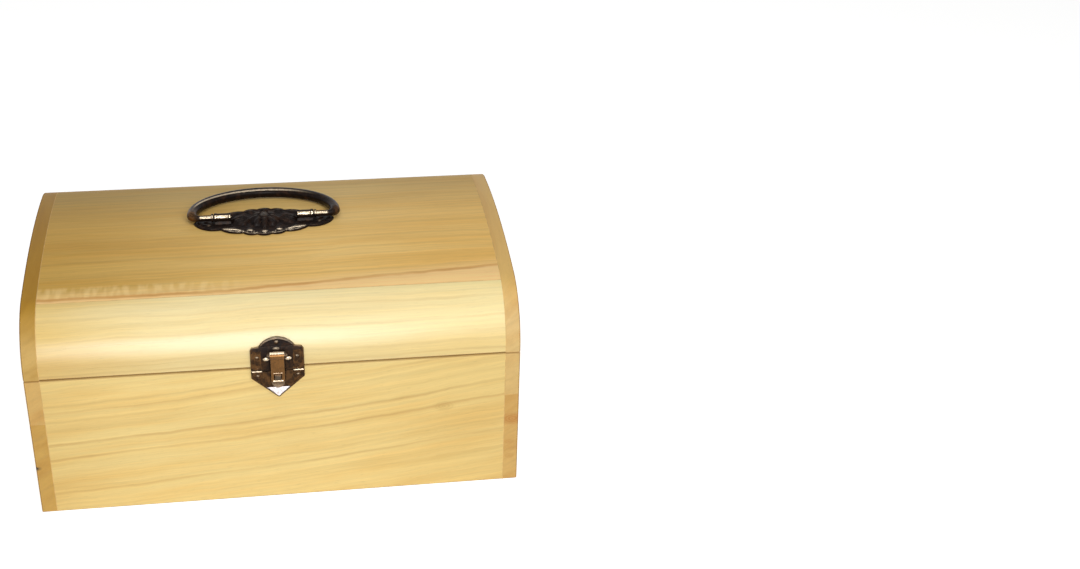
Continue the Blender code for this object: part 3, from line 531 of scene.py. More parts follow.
frontFace = case["middle"] - case["depth"] / 2
backFace = case["middle"] + case["depth"] / 2
halfLength = case["length"] / 2
innerEnd = halfLength - case["board"]
shoulderArc = case["upright"] + case["shoulder"] * case["joinAngle"]
crownArc = case["crown"] * (pi - 2 * case["joinAngle"])
wholeArc = 2 * shoulderArc + crownArc
jointArc = case["upright"] + case["shoulder"] * radians(72.0)
halfGlue = case["glue"] / 2
boardReach = innerEnd - case["glue"]    # half the length of what lies between the ends
# Height of the crown's centre
crownLevel = case["rim"] + case["upright"] + (case["shoulder"] - case["crown"]) * sin(case["joinAngle"])


def newTree(name, inputs):
    # A tree with named inputs: lengths in metres, whole numbers, a mesh to start from and a material
    tree = bpy.data.node_groups.new(name, "GeometryNodeTree")
    tree.interface.new_socket("Geometry", in_out="OUTPUT", socket_type="NodeSocketGeometry")
    kinds = {float: "NodeSocketFloat", int: "NodeSocketInt", bpy.types.Material: "NodeSocketMaterial",
             bpy.types.Mesh: "NodeSocketGeometry"}
    for label, kind in inputs.items():
        tree.interface.new_socket(label, in_out="INPUT", socket_type=kinds[kind])
    return tree, tree.nodes.new("NodeGroupInput").outputs, tree.nodes.new("NodeGroupOutput")


def closeTree(tree, geometry, given, out):
    real = addStep(tree, "GeometryNodeRealizeInstances", {0: geometry})
    dressed = addStep(tree, "GeometryNodeSetMaterial", {0: real.outputs[0], "Material": given["Material"]})
    tree.links.new(dressed.outputs[0], out.inputs[0])
    return tree


def growMesh(name, tree, values, start=None):
    # Runs a tree on a mesh, empty unless one is given, and keeps the result as a plain mesh
    seed = addObject(name + "Seed", start or bpy.data.meshes.new(name + "Seed"))
    modifier = seed.modifiers.new("grow", "NODES")
    modifier.node_group = tree
    for item in tree.interface.items_tree:
        if item.in_out == "INPUT" and item.name in values:
            modifier[item.identifier] = values[item.name]
    mesh = evaluated(seed)
    seed.modifiers.remove(modifier)
    bpy.data.objects.remove(seed, do_unlink=True)
    mesh.name = name
    return mesh


def bentBoardTree():
    # A flat plank whose length across the box is laid round the arch of the lid
    tree, given, out = newTree("bentBoard", {
        "Left": float, "Right": float, "Arc Start": float, "Arc End": float, "Thickness": float,
        "Sink": float, "Steps": int, "Material": bpy.types.Material,
    })
    cube = {"Size": (1.0, 1.0, 1.0), "Vertices Y": given["Steps"]}
    plank = addStep(tree, "GeometryNodeMeshCube", cube).outputs["Mesh"]
    place = addStep(tree, "GeometryNodeInputPosition").outputs[0]
    x, y, z = addStep(tree, "SeparateXYZ", {0: place}).outputs

    def span(low, high, share):
        # The cube runs from -0.5 to 0.5
        length = calc(tree, "SUBTRACT", high, low)
        return calc(tree, "MULTIPLY_ADD", length, calc(tree, "ADD", share, 0.5), low)

    across = span(given["Left"], given["Right"], x)
    arc = span(given["Arc Start"], given["Arc End"], y)
    depth = calc(tree, "MULTIPLY_ADD", calc(tree, "SUBTRACT", 0.5, z), given["Thickness"], given["Sink"])

    # The arch is even, so the back half is the front half turned round
    isBack = calc(tree, "GREATER_THAN", arc, wholeArc / 2)
    near = calc(tree, "MINIMUM", arc, calc(tree, "SUBTRACT", wholeArc, arc))
    turned = calc(tree, "DIVIDE", calc(tree, "SUBTRACT", near, case["upright"]), case["shoulder"])
    turned = calc(tree, "MAXIMUM", turned, 0.0)
    straight = calc(tree, "MINIMUM", near, case["upright"])
    inShoulder = calc(tree, "LESS_THAN", near, shoulderArc)
    crownTurn = calc(tree, "DIVIDE", calc(tree, "SUBTRACT", near, shoulderArc), case["crown"])
    crownTurn = calc(tree, "ADD", crownTurn, case["joinAngle"])

    # On the shoulder's small circle, and on the crown's large one
    shoulderOut = calc(tree, "SUBTRACT", case["shoulder"], depth)
    shoulderY = calc(tree, "MULTIPLY_ADD", calc(tree, "COSINE", turned), shoulderOut,
                     case["depth"] / 2 - case["shoulder"])
    shoulderZ = calc(tree, "MULTIPLY_ADD", calc(tree, "SINE", turned), shoulderOut, case["rim"])
    shoulderZ = calc(tree, "ADD", shoulderZ, straight)
    crownOut = calc(tree, "SUBTRACT", case["crown"], depth)
    crownY = calc(tree, "MULTIPLY", calc(tree, "COSINE", crownTurn), crownOut)
    crownZ = calc(tree, "MULTIPLY_ADD", calc(tree, "SINE", crownTurn), crownOut, crownLevel)
    outY, outZ = (addStep(tree, "GeometryNodeSwitch", {0: inShoulder, 1: onCrown, 2: onShoulder},
                          input_type="FLOAT").outputs[0]
                  for onCrown, onShoulder in ((crownY, shoulderY), (crownZ, shoulderZ)))
    side = calc(tree, "MULTIPLY_ADD", isBack, 2.0, -1.0)
    outY = calc(tree, "MULTIPLY_ADD", outY, side, case["middle"])

    marks = {"Geometry": plank, "Name": "arc", "Value": arc}
    marked = addStep(tree, "GeometryNodeStoreNamedAttribute", marks, data_type="FLOAT", domain="POINT")
    target = addStep(tree, "CombineXYZ", {"X": across, "Y": outY, "Z": outZ}).outputs[0]
    laid = addStep(tree, "GeometryNodeSetPosition", {"Geometry": marked.outputs[0], "Position": target})
    return closeTree(tree, laid.outputs[0], given, out)


def soften(shape, wanted):
    # Rounds edges and darkens them with grime and painted shade, most of all under the lid's rim
    mark = shape.faces.layers.float.new("grime")
    elsewhere, under, over = case["grime"]
    for face in bevel(shape, wanted, case["arris"], 3):
        height = face.calc_center_median().z - case["rim"]
        face[mark] = elsewhere if abs(height) > case["seamReach"] else over if height > 0.0 else under


def liesOn(edge, axis, *levels):
    return any(all(abs(vert.co[axis] - level) < samePlace for vert in edge.verts) for level in levels)


def markBareAndShaded(mesh):
    # Faces that look into the box have had no varnish; the tint they get also paints the shade inside the
    # box
    bare = mesh.attributes.new("bare", "FLOAT", "FACE")
    slack = 0.1 * mm
    halfInside = case["depth"] / 2 - case["board"]
    hollow = Vector((0.0, 0.0, 70.0 * mm))
    values = []
    for face in mesh.polygons:
        place = face.center - Vector((0.0, case["middle"], 0.0))
        isInside = abs(place.x) < innerEnd + slack and abs(place.y) < halfInside + slack
        values.append(float(isInside and face.normal.dot(hollow - place) > 0.0))
    bare.data.foreach_set("value", values)


def placeBoard(name, mesh, body, replaced):
    markBareAndShaded(mesh)
    board = addShaded(name, mesh, 35.0)
    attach(board, body)
    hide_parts(replaced)


def cutWith(mesh, boxes):
    # Takes boxes out of a mesh, such as the hinges' mortises
    shape = bmesh.new()
    for low, high in boxes:
        addBox(shape, low, high)
    board, cutter = addObject("uncut", mesh), addObject("cutter", toMesh(shape, "cutter"))
    board.modifiers.new("cut", "BOOLEAN").object = cutter
    result = evaluated(board)
    for thing in (board, cutter):
        bpy.data.objects.remove(thing, do_unlink=True)
    return result


def mortises(body):
    # Room for the leaves that are let into this body's board at the back
    margin = case["glue"]
    if body == "box":
        label, low, high = "body", case["leafUnder"] - margin, case["rim"] + margin
    else:
        label, low, high = "lid", case["rim"] - 5 * margin, case["leafTop"] + margin
    rooms = []
    for side in ("left", "right"):
        near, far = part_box(f"{side}_hinge_{label}_leaf")
        rooms.append(((near.x - margin, near.y - margin, low), (far.x + margin, case["depth"], high)))
    return rooms


def bentBoard(tree, name, stretch, look, replaced):
    mesh = growMesh(name, tree, {
        "Left": -boardReach, "Right": boardReach, "Arc Start": stretch[0], "Arc End": stretch[1],
        "Thickness": case["board"], "Sink": 0.0, "Steps": look["steps"],
        "Material": woodMaterial(name + "Wood", look)})
    shape = fromMesh(mesh)
    soften(shape, lambda edge: liesOn(edge, 1, frontFace, backFace) and liesOn(edge, 2, case["rim"]))
    for face in shape.faces:
        face.material_index = 1    # the tree leaves the first slot empty
    shape.to_mesh(mesh)
    shape.free()
    if replaced == "lid_back_shoulder":
        mesh = cutWith(mesh, mortises("lid"))
    placeBoard(name, mesh, "lid", replaced)


def flatBoard(name, node, look):
    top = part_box("front_board")[1].z

    def isArris(edge):
        # Where two of the case's outer faces meet
        faces = (liesOn(edge, 0, -halfLength, halfLength), liesOn(edge, 1, frontFace, backFace),
                 liesOn(edge, 2, 0.0, top))
        return sum(faces) > 1

    shape = bmesh.new()
    addBox(shape, *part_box(node))
    soften(shape, isArris)
    mesh = toMesh(shape, name)
    mesh.materials.append(woodMaterial(name + "Wood", look))
    if node == "back_board":
        mesh = cutWith(mesh, mortises("box"))
    placeBoard(name, mesh, bodyOf[node], node)


glue = {
    "dark": (0.62, 0.40, 0.15),
    "pale": (0.837, 0.54, 0.2025),
    "fineness": 160.0,
    "spots": (0.4, 0.65),
    "roughness": 0.55,
    "specular": 0.2,
    "sink": 0.04 * mm,         # how far the glue lies under the boards' faces
    "depth": 3.4 * mm,
}


def glueLines(tree, material):
    # Thin slabs fill the joints to just under the faces: round the lid's arch, and straight on the body
    sink, depth = glue["sink"], glue["depth"]
    runs = [(-innerEnd, -boardReach, 0.0, wholeArc, 120), (boardReach, innerEnd, 0.0, wholeArc, 120)]
    runs += [(-boardReach, boardReach, joint - halfGlue, joint + halfGlue, 2)
             for joint in (jointArc, wholeArc - jointArc)]
    shape = bmesh.new()
    for count, (left, right, start, end, steps) in enumerate(runs):
        shape.from_mesh(growMesh(f"lidGlue{count}", tree, {
            "Left": left, "Right": right, "Arc Start": start, "Arc End": end, "Thickness": depth,
            "Sink": sink, "Steps": steps, "Material": material}))
    lidGlue = toMesh(shape, "lidGlue")

    shape = bmesh.new()
    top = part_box("front_board")[1].z - sink
    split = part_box("left_end_lower")[1].z
    for side in (-1, 1):
        left, right = sorted((side * boardReach, side * innerEnd))
        addBox(shape, (left, frontFace + sink, sink), (right, frontFace + depth, top))
        addBox(shape, (left, backFace - depth, sink), (right, backFace - sink, top))
        left, right = sorted((side * (halfLength - sink), side * innerEnd))
        addBox(shape, (left, frontFace + sink, split), (right, backFace - sink, split + case["glue"]))
    bodyGlue = toMesh(shape, "bodyGlue")
    for name, mesh, body in (("lidGlueLines", lidGlue, "lid"), ("bodyGlueLines", bodyGlue, "box")):
        mesh.materials.append(material)
        made = addObject(name, mesh)
        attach(made, body)


def archPoint(arc, depth=0.0):
    # The arch's outline in Y and Z at a distance along it, as in the bent boards
    near = min(arc, wholeArc - arc)
    if near < shoulderArc:
        angle = max(0.0, (near - case["upright"]) / case["shoulder"])
        out = case["shoulder"] - depth
        y = case["depth"] / 2 - case["shoulder"] + out * cos(angle)
        z = case["rim"] + min(near, case["upright"]) + out * sin(angle)
    else:
        angle = case["joinAngle"] + (near - shoulderArc) / case["crown"]
        y = (case["crown"] - depth) * cos(angle)
        z = crownLevel + (case["crown"] - depth) * sin(angle)
    return case["middle"] + (y if arc > wholeArc / 2 else -y), z


def lidEnd(name, node, look):
    low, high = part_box(node)
    shape = bmesh.new()
    steps = look["steps"]
    ring = [shape.verts.new((low.x, *archPoint(wholeArc * step / steps))) for step in range(steps + 1)]
    cap = shape.faces.new(ring)
    grown = bmesh.ops.extrude_face_region(shape, geom=[cap])["geom"]
    moved = [part for part in grown if isinstance(part, bmesh.types.BMVert)]
    bmesh.ops.translate(shape, verts=moved, vec=(high.x - low.x, 0.0, 0.0))
    bmesh.ops.recalc_face_normals(shape, faces=shape.faces)
    soften(shape, lambda edge: liesOn(edge, 0, -halfLength, halfLength))
    mesh = toMesh(shape, name)
    mesh.materials.append(woodMaterial(name + "Wood", look))
    # Its lower edge has had no varnish; it is dark with dirt and painted seam shade
    mesh.materials.append(seamWood)
    for face, entry in zip(mesh.polygons, mesh.attributes["grime"].data):
        if entry.value > 0.9:
            face.material_index = 1
    placeBoard(name, mesh, "lid", node)


# Hardware in general

def camel(node):
    first, *rest = node.split("_")
    return first + "".join(word.capitalize() for word in rest)


def smooth(low, high, value):
    share = min(1.0, max(0.0, (value - low) / (high - low)))
    return share * share * (3.0 - 2.0 * share)


def markFaces(mesh, wearAndLight):
    # The function gives the bare share (wear and painted highlight), brown and field for a face by its
    # middle in millimetres and its normal
    marks = [wearAndLight(face.center / mm, face.normal) for face in mesh.polygons]
    for column, label in enumerate(("rubbed", "brown", "field")):
        known = mesh.attributes.get(label)
        layer = known or mesh.attributes.new(label, "FLOAT", "FACE")
        before = [entry.value for entry in layer.data] if known else [0.0] * len(marks)
        layer.data.foreach_set("value", [max(old, mark[column]) for old, mark in zip(before, marks)])


def placeMetal(name, shape, material, body, replaced=(), wearAndLight=None, sharpAngle=38.0, weighted=True):
    mesh = toMesh(shape, name)
    mesh.materials.append(material)
    if wearAndLight:
        markFaces(mesh, wearAndLight)
    made = addShaded(name, mesh, sharpAngle, weighted)
    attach(made, body)
    if replaced:
        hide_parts(*replaced)
    return made


def markWornAndLit(shape, faces, share):
    # How bare these faces show, from wear and as painted highlight, unless they were barer before
    mark = shape.faces.layers.float["rubbed"]
    for face in faces:
        face[mark] = max(face[mark], share)


def isSharp(edge):
    return edge.is_convex and edge.calc_face_angle(0.0) > radians(28)


def castCopy(node, softening, wide=(), rubbed=0.35):
    # A copy of a solid, its flat faces joined again and its corners rounded as a casting's are, and shown
    # bare from wear and as painted highlight. wide
    # lists edges that are rounded more: a test, the width and how bare they show.
    shape = fromMesh(nodes[node].data)
    shape.faces.layers.float.new("rubbed")
    bmesh.ops.remove_doubles(shape, verts=shape.verts, dist=samePlace)
    bmesh.ops.dissolve_limit(shape, angle_limit=radians(0.6), verts=shape.verts, edges=shape.edges)
    for wanted, width, bareness in wide:
        markWornAndLit(shape, bevel(shape, lambda edge: isSharp(edge) and wanted(edge), width * mm, 4), bareness)
    markWornAndLit(shape, bevel(shape, isSharp, softening * mm, 2), rubbed)
    return shape


# Hasp

hasp = {
    "axis": (-91.44, 95.32),   # the lever's pin in Y and Z
    "shoulderCentre": (-54.56, 87.5),
    "front": -88.06,
    "softening": 0.14,
    "fieldLift": 1.25,         # the plates' sunk fields over the wood
    "leverHalf": 0.65,         # half the lever's thickness
    # Bars across the lever over and under its window: drop from the pin, half length, radius, bare share
    # (wear and painted highlight)
    "leverBars": ((10.9, 2.6, 0.24, 0.5), (15.75, 2.9, 0.50, 0.85)),
    # Swellings of the lid plate: across, along the arch, height over the lid, three radii, bare share (wear
    # and painted highlight)
    "knuckles": ((-5.8, 5.9, 2.35, (1.9, 0.55, 1.05), 0.8), (5.8, 5.9, 2.35, (1.9, 0.55, 1.05), 0.8),
                 (-0.3, 11.0, 1.3, (2.3, 0.6, 1.0), 0.34)),
    # Scrolls at both sides of it: across, along the arch, radius, way round
    "curls": ((11.2, 9.3, 1.5, 1), (11.2, 2.9, 1.7, -1)),
    "curlTurns": 1.5,
    "curlWire": 0.26,
    # The catch plate: its point's corner lies under this level, its polished facet, whose near-white is a
    # painted reflection, under the next
    "pointUnder": (67.7, 75.0),
    "pointWidth": 0.9,
    "facetInset": 0.12,
    # Rolls along its upper edge: from and to across, radius, place in front and height, bare share (painted
    # highlight)
    "catchRoll": (8.3, 13.9, 0.45, -89.39, 84.42, 0.95),
    "pin": (0.68, 0.35, 0.3),  # radius, radius of the ends and how far they are turned down
}


def overLid(place):
    # Height over the lid's outside, in millimetres
    across, up = hasp["shoulderCentre"]
    if place.z < up:
        return hasp["front"] - place.y
    return sqrt((place.y - across)**2 + (place.z - up)**2) - case["shoulder"] / mm


def lidPlateWearAndLight(place, normal):
    height = overLid(place)
    side = smooth(8.2, 9.4, abs(place.x))
    if height > 2.0:
        # Columns and ears catch the thumb, most of all at their upper ends, which also carry a painted
        # highlight
        return (0.9 * smooth(0.45, 0.85, normal.z) if place.z < 95.0 else 0.06), 0.2, 0.0
    if height < 1.5 and -normal.y * 0.8 + normal.z * 0.6 > 0.5:
        # The sunk fields, browner towards both sides
        return 0.0, 0.03 + 0.55 * side, 1.0
    # The arch rim is rubbed; the upward faces at the sides carry a painted highlight
    arch = smooth(99.0, 101.5, place.z)
    return max(0.17 * arch, 0.55 * side * smooth(0.55, 0.9, normal.z)), 0.08 + 0.5 * side + 0.2 * arch, 0.3


def catchWearAndLight(place, normal):
    height = hasp["front"] - place.y
    if abs(place.x) < 2.6 and height > 2.0:
        # The hook is bare where the lever's window rubs over it, and its upper faces carry a painted
        # highlight
        return 0.10 + 0.6 * smooth(0.5, 0.9, normal.z), 0.25, 0.0
    if normal.z > 0.6 and place.z > 84.0:
        # The rolls of the upper edge, with a painted highlight on their tops
        return 0.95 * smooth(7.0, 8.0, abs(place.x)), 0.5, 0.0
    if normal.y < -0.5:
        return 0.0, 0.50, 0.8
    return 0.10, 0.40, 0.15


def leverWearAndLight(place, normal):
    up = smooth(0.35, 0.8, normal.z)
    if place.z < 79.2:
        # The curled tip is darker than the rest
        return 0.10 + 0.4 * up, 0.36, 0.0
    # The barrel's top and the upward faces carry a painted highlight
    return 0.95 * smooth(0.62, 0.82, normal.z) if place.z > 95.0 else 0.6 * up, 1.0, 0.0


def curl(shape, place, radius, way):
    # A scroll of wire cast on a plate; place maps millimetres across, up and out to a place in metres
    turns, sides = hasp["curlTurns"], 8
    steps = int(22 * turns)
    loops = []
    for step in range(steps + 1):
        share = step / steps
        angle = way * 2 * pi * turns * share + pi / 2
        out = radius * (1.0 - 0.78 * share)
        width = hasp["curlWire"] * (0.45 + 0.55 * sin(pi * min(1.0, 0.15 + 0.85 * share)))
        loop = []
        for side in range(sides):
            turn = 2 * pi * side / sides
            reach = out + width * cos(turn)
            loop.append(shape.verts.new(place(reach * cos(angle), reach * sin(angle), width * sin(turn))))
        loops.append(loop)
    shape.faces.new(loops[0])
    shape.faces.new(loops[-1])
    skin(shape, loops)


def onLidPlate(x, arc, lift):
    def place(across=0.0, up=0.0, out=0.0):
        y, z = archPoint((arc + up) * mm, -(lift + out) * mm)
        return Vector(((x + across) * mm, y, z))
    return place


def ball(shape, centre, radii, rubbed):
    # A stretched ball, for knuckles that swell out of a plate
    size = Matrix.Diagonal((*(radius * mm for radius in radii), 1.0))
    made = bmesh.ops.create_uvsphere(shape, u_segments=24, v_segments=12, radius=1.0,
                                     matrix=Matrix.Translation(centre) @ size)
    markWornAndLit(shape, {face for vert in made["verts"] for face in vert.link_faces}, rubbed)


def roundBar(shape, start, end, thick, y, z, rubbed):
    # A bar along X with rounded ends, half sunk in what carries it
    turnDown = 0.45 * thick
    roll = ((start, 0.0), (start, 0.55 * thick), (start + turnDown, thick), (end - turnDown, thick),
            (end, 0.55 * thick), (end, 0.0))
    markWornAndLit(shape, turnedAboutX(shape, [(x * mm, radius * mm) for x, radius in roll], 16,
                            Matrix.Translation((0.0, y * mm, z * mm))), rubbed)


def makeHasp(material, handled, paintedReflectionFacet):
    soft = hasp["softening"]
    axisY, axisZ = hasp["axis"]
    tipUnder, facetUnder = hasp["pointUnder"]

    def isCatchTip(edge):
        return all(vert.co.z < tipUnder * mm and abs(vert.co.x) < 0.5 * mm for vert in edge.verts)

    plate = castCopy("hasp_lid_plate", soft, rubbed=0.25)
    for x, arc, lift, radii, rubbed in hasp["knuckles"]:
        ball(plate, onLidPlate(x, arc, lift)(), radii, rubbed)
    for side in (-1, 1):
        for x, arc, radius, way in hasp["curls"]:
            curl(plate, onLidPlate(side * x, arc, hasp["fieldLift"]), radius, side * way)
    placeMetal("haspLidPlate", plate, material, "lid", ["hasp_lid_plate"], lidPlateWearAndLight)

    lever = castCopy("hasp_lever", soft, rubbed=0.45)
    for drop, half, thick, rubbed in hasp["leverBars"]:
        roundBar(lever, -half, half, thick, axisY - hasp["leverHalf"], axisZ - drop, rubbed)
    bmesh.ops.recalc_face_normals(lever, faces=lever.faces)
    placeMetal("haspLever", lever, handled, "lever", ["hasp_lever"], leverWearAndLight)

    # The catch plate's point is a polished facet inside a dark border; its near-white colour is a painted
    # reflection
    shape = castCopy("hasp_catch_plate", soft, [(isCatchTip, hasp["pointWidth"], 0.0)], rubbed=0.18)
    facets = [face for face in shape.faces if face.calc_center_median().z < facetUnder * mm
              and 0.02 < abs(face.normal.z) < 0.3 and face.normal.y < -0.9]
    facet = max(facets, key=lambda face: face.calc_area())
    bmesh.ops.inset_region(shape, faces=[facet], thickness=hasp["facetInset"] * mm)
    facet.material_index = 1
    # Its upper edge is rolled on both sides of the middle, with a painted highlight
    near, far, thick, y, z, rubbed = hasp["catchRoll"]
    for start, end in ((-far, -near), (near, far)):
        roundBar(shape, start, end, thick, y, z, rubbed)
    bmesh.ops.recalc_face_normals(shape, faces=shape.faces)
    catch = placeMetal("haspCatchPlate", shape, material, "box", ["hasp_catch_plate"], catchWearAndLight)
    catch.data.materials.append(paintedReflectionFacet)
    bare = catch.data.attributes["rubbed"]
    for face in catch.data.polygons:
        if face.material_index == 1:
            bare.data[face.index].value = 1.0

    low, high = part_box("hasp_pin")
    half = (high.x - low.x) / 2
    radius, endRadius, turnDown = (size * mm for size in hasp["pin"])
    profile = ((-half, 0.0), (-half, endRadius), (-half + turnDown, radius), (half - turnDown, radius),
               (half, endRadius), (half, 0.0))
    pin = bmesh.new()
    turnedAboutX(pin, profile, 24, Matrix.Translation((0.0, axisY * mm, axisZ * mm)))
    bmesh.ops.recalc_face_normals(pin, faces=pin.faces)
    placeMetal("haspHingePin", pin, material, "lid", ["hasp_pin"], lambda place, normal: (0.4, 0.5, 0.0))


# Handle

handle = {
    "seat": (-3.2, 5.44, 125.175),
    "lean": -0.011186,         # radians, the crown's slope at the seat
    "halfLength": 39.8,
    "halfDepth": 16.6,
    "gap": 0.3,                # under the plate
    "field": 1.1,              # its ground over the wood
    "cusps": ((1.0, 0.0), (0.62, 0.51), (0.30, 0.78), (0.105, 0.90)),
    "bulges": (0.20, 0.11, 0.09),
    "middleBulge": 0.10,
    "arcSteps": 15,
    "rings": 52,
    "rim": (1.7, 0.50),        # width and height of the roll along the edge
    "leaf": (7.0, 28.0),       # where its veins and its rib start, from the middle
    # Rolls in each quarter: place, half length, half width, height and lean
    "rolls": ((18.9, 9.3, 5.8, 1.7, 1.25, 0.22), (33.0, 3.4, 2.6, 0.9, 0.5, 0.55)),
    "beads": ((0.0, 13.3), (8.2, 11.6)),
    "beadSize": (2.5, 1.9, 1.45),
    "shell": (13.4, 5.2, 5.0, 3.2),    # place, half length, half width, height
    "rosette": (8.0, 4.3),     # reach of the petals and height of the button
    "pivot": 4.2,
    # The bail's socket, from its inner end: places along and radii, out over its rims and back in its bore
    "socketInner": 18.4,
    "socket": ((0.0, 0.0), (0.0, 1.9495), (0.25, 2.4495), (0.7, 2.6495), (1.3, 2.6495), (1.7, 2.4295),
               (7.9, 2.4295), (8.3, 2.6495), (9.3, 2.6495), (9.68, 2.5295), (9.8, 2.2995), (9.8, 2.05),
               (9.65, 1.9), (1.8, 1.9), (1.8, 0.0)),
    "foot": (0.4, 9.3, 0.6),   # from and to along the socket, and its height over the crown
    "footWidth": (2.0, 1.1),   # half its width at the socket, and how much it widens downwards
}
seatPlace = Matrix.Translation(Vector(handle["seat"]) * mm) @ Matrix.Rotation(handle["lean"], 4, "X")


def overSeat(x, y, height):
    # Millimetres across, along the crown and over it, to a place in metres
    radius = case["crown"]
    angle = y * mm / radius
    out = radius + height * mm
    return seatPlace @ Vector((x * mm, out * sin(angle), out * cos(angle) - radius))


def bulgedArc(start, end, bulge, steps):
    chord = end - start
    across = Vector((chord.y, -chord.x)).normalized()
    radius = (chord.length**2 / 4 + bulge**2) / (2 * bulge)
    centre = (start + end) / 2 + across * (bulge - radius)
    half = asin(min(1.0, chord.length / (2 * radius)))
    points = []
    for step in range(steps):
        angle = half * (2 * step / steps - 1)
        points.append(centre + radius * (across * cos(angle) + chord.normalized() * sin(angle)))
    return points


def plateOutline():
    size = Vector((handle["halfLength"], handle["halfDepth"]))
    cusps = [Vector((x * size.x, y * size.y)) for x, y in handle["cusps"]]
    quarter = []
    for start, end, share in zip(cusps, cusps[1:], handle["bulges"]):
        quarter += bulgedArc(start, end, share * size.y, handle["arcSteps"])
    last = cusps[-1]
    middle = bulgedArc(last, Vector((-last.x, last.y)), handle["middleBulge"] * size.y, handle["arcSteps"])
    upper = quarter + middle + [Vector((-point.x, point.y)) for point in [last] + quarter[:0:-1]]
    return upper + [-point for point in upper]


def dome(x, y, radiusX, radiusY):
    # 1 in the middle of an ellipse, 0 at its rim and outside
    return sqrt(max(0.0, 1.0 - (x / radiusX)**2 - (y / radiusY)**2))


def plateRelief(x, y, rimDistance):
    # Height of the cast ornament over the wood, in millimetres
    field = handle["field"]
    side, out = abs(x), abs(y)
    rimWidth, rimHeight = handle["rim"]
    height = field + rimHeight * sin(pi * min(1.0, rimDistance / rimWidth))
    height -= 0.42 * (1.0 - smooth(0.0, 0.5, rimDistance))
    # Leaves run from the middle to both ends, with a rib and side veins
    veinsFrom, ribFrom = handle["leaf"]
    if side > veinsFrom:
        vein = sin((side + 1.9 * out) * 0.72)**2 * smooth(veinsFrom, veinsFrom + 3.0, side)
        height += 0.28 * vein * smooth(1.5, 2.6, rimDistance)
        rib = (1.0 - smooth(0.0, 0.9, out)) * smooth(ribFrom, ribFrom + 3.0, side)
        height += 0.45 * rib * smooth(1.0, 3.0, rimDistance)
    for rollX, rollY, length, depth, rise, lean in handle["rolls"]:
        ax, ay = side - rollX, out - rollY
        along, over = ax * cos(lean) - ay * sin(lean), ax * sin(lean) + ay * cos(lean)
        height = max(height, field + rise * dome(along, over, length, depth))
    length, depth, rise = handle["beadSize"]
    for beadX, beadY in handle["beads"]:
        height = max(height, field + rise * dome(side - beadX, out - beadY, length, depth))
    # A shell on each side of the rosette
    shellX, length, depth, rise = handle["shell"]
    shell = dome(side - shellX, y, length, depth)
    if shell > 0.0:
        ribs = 0.5 - 0.5 * cos(atan2(y, side - shellX + 5.6) * 22.0)
        height = max(height, field + rise * shell - 0.45 * ribs * smooth(0.1, 0.6, shell))
    # The rosette: eight petals round a button
    petals, rise = handle["rosette"]
    distance, turn = sqrt(x * x + y * y), atan2(y, x)
    reach = petals * (1.0 + 0.10 * cos(8.0 * turn))
    if distance < reach:
        rise *= sqrt(1.0 - (distance / reach)**2)
        groove = (1.0 - smooth(0.0, 0.75, abs(cos(4.0 * turn)))) * smooth(2.4, 4.6, distance)
        rise -= groove * smooth(0.0, 2.0, rise)
        rise -= 0.75 * (1.0 - smooth(0.0, 0.55, abs(distance - 3.0)))
        height = max(height, field + rise)
    return height


def plateWearAndLight(place, normal):
    # Painted highlights on the rim's front lobes and the tops of the ornament; the ground stays black
    local = seatPlace.inverted() @ (place * mm) / mm
    up = normal.z
    front = smooth(0.30, 0.62, -normal.y) * smooth(-8.0, -9.6, local.y) * smooth(0.55, 0.8, up)
    crest = smooth(0.90, 0.995, up) * smooth(1.45, 2.0, local.z)
    ground = 1.0 if local.z < 1.35 and up > 0.9 else 0.0
    return 0.85 * front + 0.04 * crest, 0.08 * crest, ground


def makePlate(material):
    outline = plateOutline()
    count = len(outline)
    reach = []
    for index, point in enumerate(outline):
        way = (outline[(index + 1) % count] - outline[index - 1]).normalized()
        reach.append(abs(point.x * way.y - point.y * way.x))
    rings = handle["rings"]
    shares = [1.0 - (1.0 - step / rings)**1.35 for step in range(rings + 1)]   # closer near the rim
    shape = bmesh.new()
    loops = [[shape.verts.new(overSeat(0.0, 0.0, plateRelief(0.0, 0.0, reach[0])))]]
    for share in shares[1:]:
        loop = []
        for point, distance in zip(outline, reach):
            x, y = point * share
            loop.append(shape.verts.new(overSeat(x, y, plateRelief(x, y, (1.0 - share) * distance))))
        loops.append(loop)
    base = [shape.verts.new(overSeat(*point, handle["gap"])) for point in outline]
    skin(shape, loops + [base])
    shape.faces.new(base[::-1])
    bmesh.ops.recalc_face_normals(shape, faces=shape.faces)
    placeMetal("handlePlateRelief", shape, material, "lid", ["handle_plate"], plateWearAndLight, 50.0, False)


